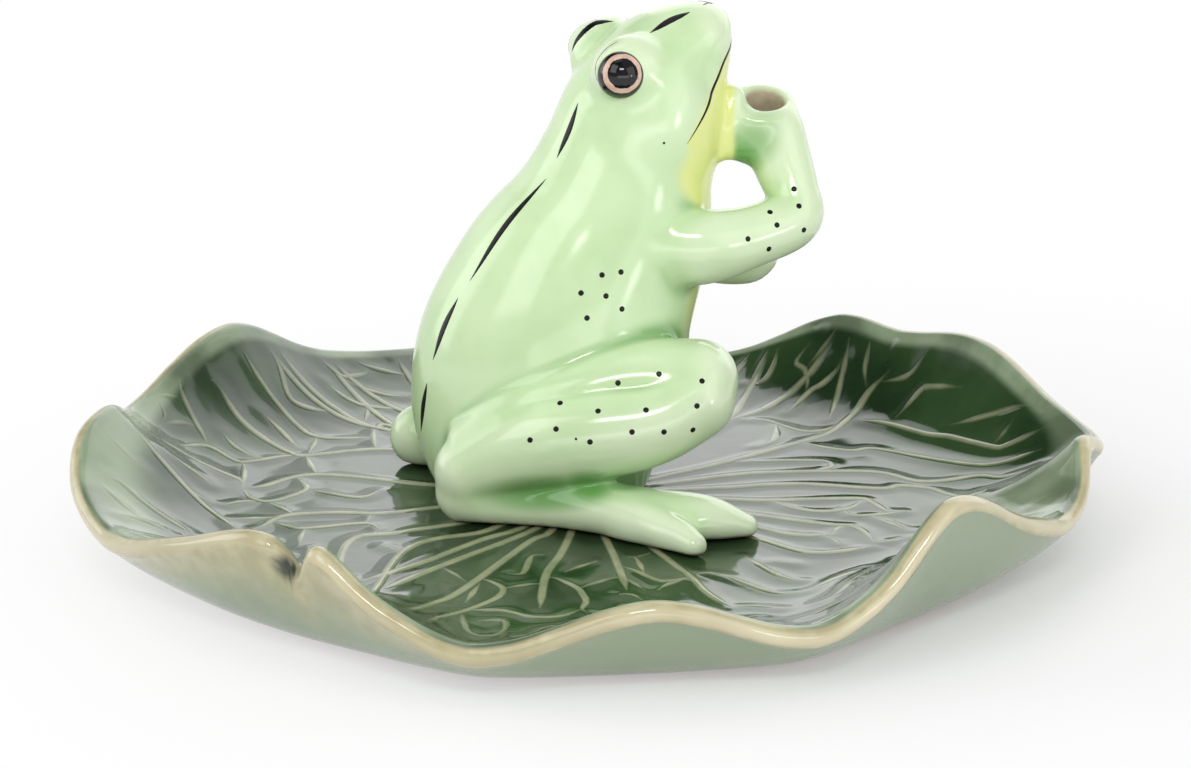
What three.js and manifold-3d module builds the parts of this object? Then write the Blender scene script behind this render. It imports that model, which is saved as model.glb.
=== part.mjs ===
// Frog incense holder: a glazed frog that sits loose on a ruffled lotus-leaf dish.
// The frog raises its right hand to its mouth, and that hand is the socket for an incense stick.
// Millimetres, +Z up. The origin is the middle of the dish's foot.
// +X is the way the frog faces, and +Y is its left.
import * as THREE from "three";
import { mergeVertices } from "three/addons/utils/BufferGeometryUtils.js";
import Module from "manifold-3d";

const wasm = await Module();
wasm.setup();

// Clearances
const LUTING_GAP = 0.3; // slip joint between two clay pieces of the frog
const SEAT_GAP = 0.3; // between the frog's underside and the leaf it stands on

// Leaf dish
const FLOOR_THICKNESS = 6.5; // clay under the frog
const SEAT_MARGIN = 2; // flat floor left beyond the longest toe
const BORDER_WIDTH = 29; // from the flat floor to the mean outline of the leaf
const FOOT_INSET = 20; // from the mean outline in to the unglazed foot
const LIP_THICKNESS = 3.6;
const FLOOR_RISE = 2.4; // power of the curve from the floor up to the lip
const WALL_RISE = 2.8; // power of the curve from the foot up to the lip, outside

// The leaf's edge, counter-clockwise: bearing in degrees from +X, reach past the mean outline,
// and height over the floor.
const RUFFLES = [
  { bearing: -12, past: 5, rise: 9 },
  { bearing: 0, past: 1, rise: 11 },
  { bearing: 14, past: 0, rise: 14.8 },
  { bearing: 21, past: 0, rise: 14.8 },
  { bearing: 32, past: 0, rise: 12 },
  { bearing: 42, past: 0, rise: 12.5 },
  { bearing: 60, past: -1, rise: 1.2 },
  { bearing: 80, past: -1, rise: 7 },
  { bearing: 101, past: 0, rise: 3 },
  { bearing: 116, past: 0, rise: 6 },
  { bearing: 131, past: 0, rise: 15.5 },
  { bearing: 154, past: 1, rise: 8.5 },
  { bearing: 164, past: 0.5, rise: 13 },
  { bearing: 171, past: 3, rise: 11.6 },
  { bearing: 178, past: 3.8, rise: 6.4 },
  { bearing: 190, past: 1.4, rise: 2.6 },
  { bearing: 206, past: 0, rise: 8.5 },
  { bearing: 219, past: 0, rise: 14.5 },
  { bearing: 222.5, past: -0.5, rise: 14 },
  { bearing: 224.9, past: -2, rise: 9.6 },
  { bearing: 228.5, past: 0, rise: 14.5 },
  { bearing: 236, past: 0, rise: 7 },
  { bearing: 246, past: 0, rise: 1.2 },
  { bearing: 265, past: 0, rise: 9.2 },
  { bearing: 283, past: 0, rise: 2 },
  { bearing: 291, past: 0, rise: 6.5 },
  { bearing: 301, past: 0, rise: 18 },
  { bearing: 318, past: -0.5, rise: 8.5 },
  { bearing: 329, past: 1, rise: 4 },
  { bearing: 335, past: 2.2, rise: 6.2 },
  { bearing: 341, past: 2, rise: 12 },
];

// Frog. Its own frame has the seat plane at z = 0 and its middle plane at y = 0.
const FROG_AT = { x: 0, y: 6 }; // where it stands on the leaf
const CASTING_WALL = 4; // slip-cast wall of the hollow body
const DRAIN_DIAMETER = 14; // hole in the underside that the slip is poured out of

// Oval sections up the back: centre x and z, half of front to back, half of side to side.
const BODY = [
  { x: -6, z: 1, deep: 18, wide: 17 },
  { x: -6.3, z: 12, deep: 21.4, wide: 19.5 },
  { x: -4.4, z: 22, deep: 22.4, wide: 20.5 },
  { x: -1.2, z: 32.6, deep: 21.2, wide: 19.5 },
  { x: 5, z: 44, deep: 18.35, wide: 16.6 },
  { x: 8.4, z: 54.5, deep: 14.3, wide: 14.2 },
  { x: 11.5, z: 63, deep: 12.7, wide: 13.8 },
  { x: 14.6, z: 70, deep: 9.8, wide: 11.5 },
  { x: 19.6, z: 74.4, deep: 4.9, wide: 6.8 },
];
const SNOUT_LENGTH = 5.6; // rounded end past the last section
const BROW = { x: 7, y: 8.4, z: 70.4, long: 6.2, wide: 4.4, tall: 6.2 };
const EYE_RADIUS = 4;
const EYE_FROM_BROW = { x: -2.4, y: 2.5, z: 0.4 }; // middle of the eye, from the middle of its brow

// Limbs of the right side: centre, half-height and half-width. The left leg is a mirror image.
const THIGH = [
  { at: [-21, -14.6, 12.6], tall: 3.6, wide: 4.2 },
  { at: [-13, -17, 18], tall: 4.6, wide: 5.2 },
  { at: [-4, -18, 21.2], tall: 5.6, wide: 6.4 },
  { at: [5, -18.6, 22.6], tall: 6.4, wide: 7.2 },
  { at: [15.4, -20.2, 22.4], tall: 6.6, wide: 7.8 },
];
const SHANK = [
  { at: [-21.3, -15.8, 8.4], tall: 5.6, wide: 5.8 },
  { at: [-12, -20.2, 13.2], tall: 7.2, wide: 6.2 },
  { at: [-2, -22.2, 15.2], tall: 7.6, wide: 7 },
  { at: [7, -22.6, 16.9], tall: 7.2, wide: 7.4 },
  { at: [14, -21.6, 20], tall: 7, wide: 7.6 },
];
const TARSUS = [
  { at: [-21.6, -15.2, 4.4], tall: 5, wide: 5 },
  { at: [-8, -20.2, 3.6], tall: 4.6, wide: 4.8 },
  { at: [3, -27.2, 3], tall: 4, wide: 6.2 },
  { at: [8, -30.6, 2.2], tall: 3.2, wide: 7.2 },
];
const OUTER_TOE = [
  { at: [2, -29.4, 2.4], tall: 3.4, wide: 3.6 },
  { at: [7.8, -36, 2], tall: 2.9, wide: 3.2 },
  { at: [10.2, -39.6, 1.3], tall: 2.1, wide: 2.3 },
];
const INNER_TOE = [
  { at: [5, -26.4, 2.8], tall: 3.6, wide: 5.2 },
  { at: [14, -30.4, 2.2], tall: 2.9, wide: 5 },
  { at: [20.8, -32.2, 1.4], tall: 2, wide: 3.2 },
];
const RIGHT_ARM = [
  { at: [9, -9, 43], tall: 6, wide: 5.6 },
  { at: [17, -12.5, 42.3], tall: 6.2, wide: 5.4 },
  { at: [26, -11.5, 43.3], tall: 5.1, wide: 4.7 },
  { at: [33.6, -9.4, 45.6], tall: 4.9, wide: 4.7 },
  { at: [34.1, -7.6, 49.4], tall: 4.4, wide: 4.4 },
  { at: [33, -5.2, 54], tall: 4.9, wide: 4.6 },
  { at: [32.2, -3.6, 58.6], tall: 4.8, wide: 4.5 },
];
const LEFT_ARM = [
  { at: [9, 9, 42], tall: 5.6, wide: 5.8 },
  { at: [16, 12.4, 39], tall: 5, wide: 5.2 },
  { at: [22, 9.4, 36.4], tall: 4.6, wide: 4.8 },
  { at: [25, 5, 35.8], tall: 4.3, wide: 4.4 },
  { at: [28.6, 0.6, 36.4], tall: 3.9, wide: 4.1 },
  { at: [30.8, -1.4, 37.8], tall: 3.5, wide: 3.6 },
];

// Incense socket in the right fist
const BORE_DIAMETER = 6;
const BORE_DEPTH = 8;
const SOCKET_WALL = 2.3;
const SOCKET_FLOOR = 3.2;
const SOCKET_MOUTH = { x: 30.8, y: -2, z: 64.4 }; // middle of the mouth, in the frog's frame
const MOUTH_TILT = 20; // degrees that the rim leans to the frog's right
const FIST_LEAN = 2; // from the mouth back to the heel of the hand
const KNUCKLE_SWELL = 0.5; // fullness of the fist at its middle

// Mesh fineness
const AROUND = 20; // sides of a limb
const STEPS = 2; // rings from one section to the next
const CAP_RINGS = 3; // rings in a rounded end
const LEAF_STEPS = 4; // points from one ruffle station to the next
const WALL_RINGS = [0.35, 0.6, 0.8]; // shares of the way from the foot to the lip
const LIP_RINGS = [-90, -45, 0, 45, 90]; // degrees round the lip, from outside to inside
const BOWL_RINGS = [0.89, 0.76, 0.62, 0.45, 0.25]; // shares of the way from the floor to the lip
const FLOOR_RINGS = [1, 0.5]; // shares of the flat floor's radius

// Finishes
const LEAF_GLAZE = { color: 0x4f6b52, roughness: 0.12 };
const FROG_GLAZE = { color: 0xb9dba0, roughness: 0.1 };
const EYE_GLAZE = { color: 0x1b1a1a, roughness: 0.06 };

// Cutting aids
const SEAT = 0; // level of the frog's underside in its own frame
const BEYOND = 200; // larger than the frog
const OVERCUT = 1; // how far a cut runs past the face that it opens

const ACROSS_BODY = new THREE.Vector3(0, 1, 0);
const UPRIGHT = new THREE.Vector3(0, 0, 1);

// A closed surface through rings of equally many points, from the first pole to the last.
function ringSurface(firstPole, rings, lastPole) {
  const sides = rings[0].length;
  const last = 1 + rings.length * sides;
  const at = (ring, side) => 1 + ring * sides + (side % sides);
  const positions = [firstPole, ...rings.flat(), lastPole].flatMap((p) => p.toArray());
  const index = [];
  for (let side = 0; side < sides; side++) {
    index.push(0, at(0, side + 1), at(0, side));
    for (let ring = 0; ring + 1 < rings.length; ring++) {
      index.push(at(ring, side), at(ring, side + 1), at(ring + 1, side));
      index.push(at(ring, side + 1), at(ring + 1, side + 1), at(ring + 1, side));
    }
    index.push(at(rings.length - 1, side), at(rings.length - 1, side + 1), last);
  }
  const geometry = new THREE.BufferGeometry();
  geometry.setAttribute("position", new THREE.Float32BufferAttribute(positions, 3));
  geometry.setIndex(index);
  return geometry;
}

// A limb: oval sections along a smooth line, closed by a rounded end at each side.
function limb(sections, grow = 0, across = ACROSS_BODY, endLength = null) {
  const line = new THREE.CatmullRomCurve3(sections.map((s) => new THREE.Vector3(...s.at)));
  const girth = new THREE.CatmullRomCurve3(sections.map((s) => new THREE.Vector3(s.tall, s.wide, 0)));
  const oval = (centre, along, tall, wide) => {
    const side = across.clone().addScaledVector(along, -across.dot(along)).normalize();
    const up = along.clone().cross(side);
    return Array.from({ length: AROUND }, (_, i) => {
      const turn = (2 * Math.PI * i) / AROUND;
      return centre
        .clone()
        .addScaledVector(side, wide * Math.cos(turn))
        .addScaledVector(up, tall * Math.sin(turn));
    });
  };
  const cap = (t, outward) => {
    const centre = line.getPoint(t);
    const along = line.getTangent(t);
    const { x: tall, y: wide } = girth.getPoint(t);
    const length = (t === 1 && endLength !== null ? endLength : Math.min(tall, wide)) + grow;
    const rings = [];
    for (let k = 1; k < CAP_RINGS; k++) {
      const lean = (Math.PI / 2) * (k / CAP_RINGS);
      const middle = centre.clone().addScaledVector(along, outward * length * Math.sin(lean));
      rings.push(oval(middle, along, (tall + grow) * Math.cos(lean), (wide + grow) * Math.cos(lean)));
    }
    return { rings, pole: centre.clone().addScaledVector(along, outward * length) };
  };
  const count = STEPS * (sections.length - 1);
  const rings = Array.from({ length: count + 1 }, (_, i) => {
    const { x: tall, y: wide } = girth.getPoint(i / count);
    return oval(line.getPoint(i / count), line.getTangent(i / count), tall + grow, wide + grow);
  });
  const start = cap(0, -1);
  const end = cap(1, 1);
  return solid(ringSurface(start.pole, [...start.rings.reverse(), ...rings, ...end.rings], end.pole));
}

// Booleans
function solid(geometry) {
  geometry.deleteAttribute("normal");
  geometry.deleteAttribute("uv");
  const merged = mergeVertices(geometry);
  return new wasm.Manifold(
    new wasm.Mesh({
      numProp: 3,
      vertProperties: new Float32Array(merged.attributes.position.array),
      triVerts: new Uint32Array(merged.index.array),
    }),
  );
}

function toGeometry(manifold) {
  const { vertProperties, triVerts } = manifold.getMesh();
  const geometry = new THREE.BufferGeometry();
  geometry.setAttribute("position", new THREE.BufferAttribute(vertProperties, 3));
  geometry.setIndex(new THREE.BufferAttribute(triVerts, 1));
  geometry.computeVertexNormals();
  return geometry;
}

function ellipsoid({ x, y, z }, long, wide, tall) {
  const ball = new THREE.SphereGeometry(1, AROUND, AROUND / 2);
  return solid(ball.rotateX(Math.PI / 2).scale(long, wide, tall).translate(x, y, z));
}

function upright(diameter, bottom, top, { x, y }) {
  const post = new THREE.CylinderGeometry(diameter / 2, diameter / 2, top - bottom, AROUND);
  return solid(post.rotateX(Math.PI / 2).translate(x, y, (top + bottom) / 2));
}

// Everything below a level plane
function below(level) {
  return solid(new THREE.BoxGeometry(BEYOND, BEYOND, BEYOND).translate(0, 0, level - BEYOND / 2));
}

// Sections of a limb on the frog's right, as they are listed, and on its left
const onRight = (sections) => sections;
const onLeft = (sections) => sections.map((s) => ({ ...s, at: [s.at[0], -s.at[1], s.at[2]] }));

// Leaf dish
function floorRadius() {
  const reaches = [OUTER_TOE, INNER_TOE]
    .flatMap((toe) => [onRight(toe).at(-1), onLeft(toe).at(-1)])
    .map(({ at: [x, y], wide }) => Math.hypot(FROG_AT.x + x, FROG_AT.y + y) + wide);
  return Math.max(...reaches) + SEAT_MARGIN;
}

// One radial slice of the leaf, from its foot up the outside, over the lip and down to the floor.
function leafSlice(edge, flat, foot) {
  const bearing = Math.atan2(edge.y, edge.x);
  const point = (radius, z) =>
    new THREE.Vector3(radius * Math.cos(bearing), radius * Math.sin(bearing), z);
  const reach = Math.hypot(edge.x, edge.y);
  const rise = edge.z - FLOOR_THICKNESS;
  const slope = Math.atan2(rise * FLOOR_RISE, reach - flat);
  const half = LIP_THICKNESS / 2;
  const lipRadius = reach - half * Math.cos(slope);
  const lipHeight = edge.z - half * Math.sin(slope);
  const lipPoint = (degrees) => {
    const turn = slope + THREE.MathUtils.degToRad(degrees);
    return point(lipRadius + half * Math.cos(turn), lipHeight + half * Math.sin(turn));
  };
  const lip = LIP_RINGS.map(lipPoint);
  const outside = lip.at(0);
  const inside = lip.at(-1);
  const outsideRun = Math.hypot(outside.x, outside.y) - foot;
  const insideRun = Math.hypot(inside.x, inside.y) - flat;
  const insideRise = inside.z - FLOOR_THICKNESS;
  const wall = WALL_RINGS.map((share) =>
    point(foot + share * outsideRun, outside.z * share ** WALL_RISE),
  );
  const bowl = BOWL_RINGS.map((share) =>
    point(flat + share * insideRun, FLOOR_THICKNESS + insideRise * share ** FLOOR_RISE),
  );
  const floor = FLOOR_RINGS.map((share) => point(share * flat, FLOOR_THICKNESS));
  return [point(foot, 0), ...wall, ...lip, ...bowl, ...floor];
}

function leafDish() {
  const flat = floorRadius();
  const outline = flat + BORDER_WIDTH;
  const foot = outline - FOOT_INSET;
  const edge = new THREE.CatmullRomCurve3(
    RUFFLES.map(({ bearing, past, rise }) => {
      const turn = THREE.MathUtils.degToRad(bearing);
      const reach = outline + past;
      return new THREE.Vector3(reach * Math.cos(turn), reach * Math.sin(turn), FLOOR_THICKNESS + rise);
    }),
    true,
  );
  const count = RUFFLES.length * LEAF_STEPS;
  const slices = Array.from({ length: count }, (_, i) => leafSlice(edge.getPoint(i / count), flat, foot));
  const rings = slices[0].map((_, ring) => slices.map((slice) => slice[ring]));
  const hub = new THREE.Vector3(0, 0, FLOOR_THICKNESS);
  return solid(ringSurface(new THREE.Vector3(), rings, hub));
}

// Frog body: head and trunk in one casting
function bodySections(inset) {
  return BODY.map(({ x, z, deep, wide }) => ({ at: [x, 0, z], tall: deep - inset, wide: wide - inset }));
}

function bodyForm(grow = 0) {
  const brow = (side) =>
    ellipsoid({ ...BROW, y: side * BROW.y }, BROW.long + grow, BROW.wide + grow, BROW.tall + grow);
  return limb(bodySections(0), grow, ACROSS_BODY, SNOUT_LENGTH).add(brow(1)).add(brow(-1));
}

function frogBody() {
  const casting = bodyForm().subtract(below(SEAT));
  const cavity = limb(bodySections(CASTING_WALL).slice(0, -1)).subtract(below(CASTING_WALL));
  const drain = upright(DRAIN_DIAMETER, SEAT - OVERCUT, CASTING_WALL + OVERCUT, { x: BODY[0].x, y: 0 });
  return casting.subtract(cavity).subtract(drain);
}

// Legs: the thigh and the shank are folded together, and the foot lies under them
function haunchForm(side, grow = 0) {
  return limb(side(THIGH), grow).add(limb(side(SHANK), grow));
}

function haunch(side) {
  return haunchForm(side).subtract(bodyForm(LUTING_GAP)).subtract(below(SEAT));
}

function foot(side) {
  const parts = [TARSUS, OUTER_TOE, INNER_TOE].map((sections) => limb(side(sections)));
  return parts
    .reduce((joined, part) => joined.add(part))
    .subtract(bodyForm(LUTING_GAP))
    .subtract(haunchForm(side, LUTING_GAP))
    .subtract(below(SEAT));
}

// Right hand: a fist closed round the socket
function handForm(grow = 0) {
  const radius = BORE_DIAMETER / 2 + SOCKET_WALL;
  const { x, y, z } = SOCKET_MOUTH;
  const heel = z - BORE_DEPTH - SOCKET_FLOOR + radius;
  const round = (at, girth) => ({ at, tall: girth, wide: girth });
  const fist = [
    round([x - FIST_LEAN, y, heel], radius),
    round([x - FIST_LEAN / 2, y, (heel + z) / 2], radius + KNUCKLE_SWELL),
    round([x, y, z], radius),
  ];
  return limb(fist, grow);
}

function rightHand() {
  const { x, y, z } = SOCKET_MOUTH;
  const bore = upright(BORE_DIAMETER, z - BORE_DEPTH, z + BORE_DEPTH, SOCKET_MOUTH);
  const overMouth = new THREE.BoxGeometry(BEYOND, BEYOND, BEYOND)
    .translate(0, 0, BEYOND / 2)
    .rotateX(THREE.MathUtils.degToRad(MOUTH_TILT))
    .translate(x, y, z);
  return handForm().subtract(bodyForm(LUTING_GAP)).subtract(solid(overMouth)).subtract(bore);
}

// Arms
function rightArm() {
  return limb(RIGHT_ARM).subtract(bodyForm(LUTING_GAP)).subtract(handForm(LUTING_GAP));
}

function leftArm() {
  return limb(LEFT_ARM, 0, UPRIGHT).subtract(bodyForm(LUTING_GAP)).subtract(limb(RIGHT_ARM, LUTING_GAP));
}

function eye(side) {
  const centre = {
    x: BROW.x + EYE_FROM_BROW.x,
    y: side * (BROW.y + EYE_FROM_BROW.y),
    z: BROW.z + EYE_FROM_BROW.z,
  };
  return ellipsoid(centre, EYE_RADIUS, EYE_RADIUS, EYE_RADIUS).subtract(bodyForm(LUTING_GAP));
}

// Assembly
function piece(name, manifold, { color, roughness }) {
  const material = new THREE.MeshStandardMaterial({ color, roughness, metalness: 0 });
  const mesh = new THREE.Mesh(toGeometry(manifold), material);
  mesh.name = name;
  return mesh;
}

const frog = new THREE.Group();
frog.position.set(FROG_AT.x, FROG_AT.y, FLOOR_THICKNESS + SEAT_GAP);
frog.add(
  piece("frog_body", frogBody(), FROG_GLAZE),
  piece("right_haunch", haunch(onRight), FROG_GLAZE),
  piece("left_haunch", haunch(onLeft), FROG_GLAZE),
  piece("right_foot", foot(onRight), FROG_GLAZE),
  piece("left_foot", foot(onLeft), FROG_GLAZE),
  piece("right_arm", rightArm(), FROG_GLAZE),
  piece("left_arm", leftArm(), FROG_GLAZE),
  piece("right_hand", rightHand(), FROG_GLAZE),
  piece("right_eye", eye(-1), EYE_GLAZE),
  piece("left_eye", eye(1), EYE_GLAZE),
);

const holder = new THREE.Group();
holder.add(piece("leaf_dish", leafDish(), LEAF_GLAZE), frog);

export default holder;
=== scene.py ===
"""Looks of the frog incense holder: a celadon frog with painted marks, loose on a veined lotus-leaf dish."""
import math

import bpy
import numpy as np
import openvdb
from mathutils import Matrix, Vector
from mathutils.bvhtree import BVHTree


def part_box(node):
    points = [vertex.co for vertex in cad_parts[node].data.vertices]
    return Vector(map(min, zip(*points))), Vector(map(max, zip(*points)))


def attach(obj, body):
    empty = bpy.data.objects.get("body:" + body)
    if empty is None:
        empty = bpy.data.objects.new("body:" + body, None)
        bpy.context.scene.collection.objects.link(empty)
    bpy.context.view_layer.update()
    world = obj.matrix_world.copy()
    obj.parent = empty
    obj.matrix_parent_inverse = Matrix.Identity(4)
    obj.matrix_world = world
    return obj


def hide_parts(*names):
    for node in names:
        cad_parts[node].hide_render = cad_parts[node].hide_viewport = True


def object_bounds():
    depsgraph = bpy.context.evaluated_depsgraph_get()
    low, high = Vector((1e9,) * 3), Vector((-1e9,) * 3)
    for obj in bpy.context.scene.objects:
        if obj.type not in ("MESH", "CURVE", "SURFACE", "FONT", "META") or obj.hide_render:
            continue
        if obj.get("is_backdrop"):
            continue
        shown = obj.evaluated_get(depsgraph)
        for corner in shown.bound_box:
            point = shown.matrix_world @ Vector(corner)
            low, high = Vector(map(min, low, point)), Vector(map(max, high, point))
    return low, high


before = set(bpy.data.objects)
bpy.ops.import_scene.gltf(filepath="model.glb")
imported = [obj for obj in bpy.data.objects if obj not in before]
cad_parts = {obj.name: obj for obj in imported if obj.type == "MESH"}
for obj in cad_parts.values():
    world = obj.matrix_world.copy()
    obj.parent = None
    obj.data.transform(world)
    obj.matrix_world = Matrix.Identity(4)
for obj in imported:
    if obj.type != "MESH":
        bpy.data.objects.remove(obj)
CAD_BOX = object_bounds()
MM = 0.001

# Photograph: its size in pixels, and the camera that took it. Places in it are pixels, from the top left.
PHOTO = (1191, 768)
VIEW_BEARING = math.radians(-12)  # of the camera about the dish, from straight across the frog's right
VIEW_HEIGHT = math.radians(18.5)
VIEW_DISTANCE = 560  # mm, from the middle of the dish's floor
FOCAL_PIXELS = 3384
HUB_PIXEL = (585, 493)  # where the middle of the dish's floor shows
SENSOR_WIDTH = 36  # mm

# Leaf dish, in mm
LIP_RADIUS = 1.8  # of the lip's roll
FLOOR_RISE = 2.4  # power of the curve from the floor up to the lip
WALL_RISE = 2.8  # power of the curve from the foot up to the lip, outside
VEIN_CREST = 0.12  # over the floor
VEIN_SINK = 0.04  # of a vein's edges into the leaf
CELL_DIP = 0.22  # of the leaf between its veins, under the floor
CELL_SLOPE = 3.0  # from a vein to the full dip
LIP_MARGIN = 3  # next to the lip, where the dips run out
LEAF_AROUND = 560  # points on each ring
FLOOR_RINGS = 56
BOWL_RINGS = 42
LIP_RINGS = 19
WALL_RINGS = 28
FOOT_RINGS = 8
HUB_GAP = 0.02  # innermost ring, as a share of the floor's or the foot's radius
LIP_CREAM = [(-75, 0), (-50, 0.8), (-15, 1), (20, 0.65), (65, 0)]  # degrees round the lip, and its share
STAIN_BEARING = math.radians(218)  # where the lip's cream runs furthest down the wall
STAIN_REACH = 0.35  # of the way down to the foot
STAIN_BLUR = 0.04
THIN_EDGE = 0.07  # of the way in from the lip, where the glaze is thin all round
THIN_GLAZE_AND_SHEEN = [(334, 0.7, 40), (181, 0.4, 14)]  # where it is paler further in: bearing, reach and sharpness; thin glaze, and on the right fold at 334 degrees also a painted sheen
DIMPLE_PIXEL = (281, 578)
DIMPLE_SEARCH = 8  # pixels about it
DIMPLE_RADIUS = 2.3
DIMPLE_DEPTH = 2
BARE_FOOT = 1.5  # height under which the clay starts to show
BARE_FADE = 1.2

# Veins that the photograph doesn't show, by bearing in degrees: behind the frog, and behind the front lip
HIDDEN_RIBS = range(48, 132, 12)
HIDDEN_SWAY = 2.5  # degrees, of a rib from its even place
HIDDEN_BEND = 0.01  # of a rib's middle, in radians
FORK_AT = 0.9  # share of the flat floor at which a rib forks
FORK_SWAY = 0.06  # of that share, from rib to rib
FORK_TURN = 0.09  # of each end of a forked rib, in radians
FORK_BEND = 0.7  # share of that turn at the middle of a fork
HIDDEN_LINKS = (0.62, 0.82)  # shares of a rib at which links leave it
LINK_TURN = 0.2  # radians from a link's start to its end
LINK_BULGE = 0.05  # of a link's middle, as a share of the rib
HIDDEN_GAP = 2  # mm, from a vein's end to the lip
FRONT_RIBS = range(193, 330, 8)
FRONT_BEND = 0.02  # of a rib's middle, in radians
FRONT_SWAY = 0.05  # of its end
FRONT_GAP = 1.5  # mm, from its end to the lip
FRONT_LINKED = 8  # mm, least length of a rib with a link
FRONT_LINK = (0.08, 0.14)  # turn of the link's middle and end, in radians
FRONT_BULGE = 2  # mm, of the link's middle
LIP_SHARES = np.linspace(0.5, 0.96, 60)  # of the way to the lip, where it may start to hide the leaf
LIP_COVER = 3  # pixels

# Frog, in mm, in its own frame: seat at z = 0, middle plane at y = 0, and +x the way it faces.
# A section of a limb is x, y, z, half-height and half-width. The body's are across its back instead.
BODY = [
    (-6, 0, 1, 17.6, 17),
    (-6.3, 0, 12, 21.4, 19.5),
    (-4.4, 0, 22, 22.4, 20.5),
    (-0.6, 0, 32.6, 20.6, 19.5),
    (5, 0, 44, 17.5, 16.6),
    (8.4, 0, 54.5, 14.3, 14.2),
    (11.3, 0, 63, 13, 13.8),
    (14.6, 0, 70, 9.8, 11.5),
    (19.6, 0, 74.4, 4.9, 6.8),
]
SNOUT_LENGTH = 5.6
BROW = ((7, 8.2, 70.4), (6.5, 5, 6.2))  # middle and half-sizes
EYE_CENTRE = (4.75, 10.9, 70.8)
EYE_RADIUS = 3.85
EYE_AIM = (-0.12, 0.96, 0.24)
EYE_AROUND = 64
EYE_RINGS = 40
LID_REACH = 4.05  # from the eye's axis to the middle of the lid
LID_PROUD = 0.6  # of the lid along the eye's axis
LID_GIRTH = 0.7
LID_TURNS = range(20, 221, 25)  # in degrees, from the eye's front over its top to its back
SNOUT_TIP = ((21.4, 0, 76.2), (3.5, 4.6, 3.1))
MUZZLE = [(14.3, 0, 58, 8.7, 10.5), (15.5, 0, 66, 8.7, 9.6), (16.8, 0, 71.4, 8.3, 8.1)]
THIGH = [
    (-21, -14.6, 12.6, 3.6, 4.2),
    (-13, -17, 18, 4.6, 5.2),
    (-4, -18, 21.2, 5.6, 6.4),
    (5, -18.6, 22.6, 6.4, 7.2),
    (15.4, -20.2, 22.4, 6.6, 7.8),
]
SHANK = [
    (-21.3, -15.8, 8.4, 5.6, 5.8),
    (-12, -20.2, 13.2, 7.2, 6.2),
    (-2, -22.4, 15.2, 7.6, 7),
    (7, -23, 16.9, 7.2, 7.4),
    (14, -21.8, 20, 7, 7.6),
]
LEFT_SHANK_END = (-19.8, 15.8, 7, 4.6, 5)
TARSUS = [
    (-21.6, -15.2, 4.4, 5, 5),
    (-8, -20.2, 3.6, 4.6, 4.8),
    (3, -27.2, 3, 4, 6.2),
    (8, -30.6, 2.2, 3.2, 7.2),
]
OUTER_TOE = [(2, -29.4, 2.4, 3.4, 3.6), (7.8, -36, 2, 2.9, 3.2), (10.2, -39.6, 1.3, 2.1, 2.3)]
INNER_TOE = [(5, -26.4, 2.8, 3.6, 5.2), (14, -30.4, 2.4, 3.7, 5), (20.8, -32.2, 1.3, 1.8, 3)]
WEB = [(4, -29, 1.8, 2.4, 5), (11, -33.6, 1.1, 1.6, 4.6)]
LEFT_HEEL = ((-24.4, 16.4, 4.4), (4.7, 4.4, 5))
RIGHT_ARM = [
    (9, -9, 43, 6, 5.6),
    (17, -12.5, 42.3, 6.2, 5.4),
    (26, -11.5, 43.3, 5.1, 4.7),
    (33.6, -9.4, 45.6, 4.9, 4.7),
    (34.1, -7.6, 49.4, 4.4, 4.4),
    (33, -5.2, 54, 4.9, 4.6),
    (32.2, -3.6, 58.6, 4.8, 4.5),
]
LEFT_ARM = [
    (9, 9, 42, 5.6, 5.8),
    (16, 12.4, 39, 5, 5.2),
    (22, 9.4, 36.4, 4.6, 4.8),
    (25, 5, 35.8, 4.3, 4.4),
    (28.6, 0.6, 36.4, 3.9, 4.1),
    (30.2, -1.2, 37.6, 3.4, 3.5),
]
FIST = [(28.8, -2, 58.5, 5.3, 5.3), (29.8, -2, 61.4, 5.8, 5.8), (30.8, -2, 64.4, 5.3, 5.3)]
WRIST = [(25, -3.4, 64.6, 2.2, 2.4), (23.6, -4.6, 60.4, 2.6, 2.6), (22, -5, 56.4, 2, 2.2)]
HEEL_OF_HAND = [(23.8, -4.2, 57, 2.4, 2.6), (28, -3.4, 57.2, 3, 3.2)]
SOCKET_MOUTH = (30.8, -2, 64)
MOUTH_TILT = math.radians(20)
MOUTH_ROUNDING = 1.4
BORE_RADIUS = 3.0
BORE_DEPTH = 8.0
PALM = ((31.2, 0.2, 57.6), (4.2, 3.2, 4.2))
BELLY = ((2, 0, 12), (12.4, 15, 14))
BORE_BOX = ((-6, -6, -12), (6, 6, 8))  # about the socket's mouth, low and high corner
CLAY_RIM = 0.7  # how far the bore's bare clay runs out on to the rim
CLAY_FADE = 0.4
DRAIN = (-6, 7, 9)  # x of its middle, radius and depth
DRAIN_BOX = ((-20, -12, -3), (8, 12, 14))
SEAT_CLAY = 0.8  # height of the bare clay at the seat
EDGE_ROUNDING = 1.0  # inside the bore and the drain
ACROSS_BODY = (0, 1, 0)
UPRIGHT = (0, 0, 1)
CURVE_STEPS = 8  # between two listed places of a limb or a vein
BODY_STEPS = 24

# Skin grid
VOXEL = 0.5
GRID_LOW = np.array((-33.0, -46.0, -3.0))
GRID_HIGH = np.array((43.0, 46.0, 84.0))

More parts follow.
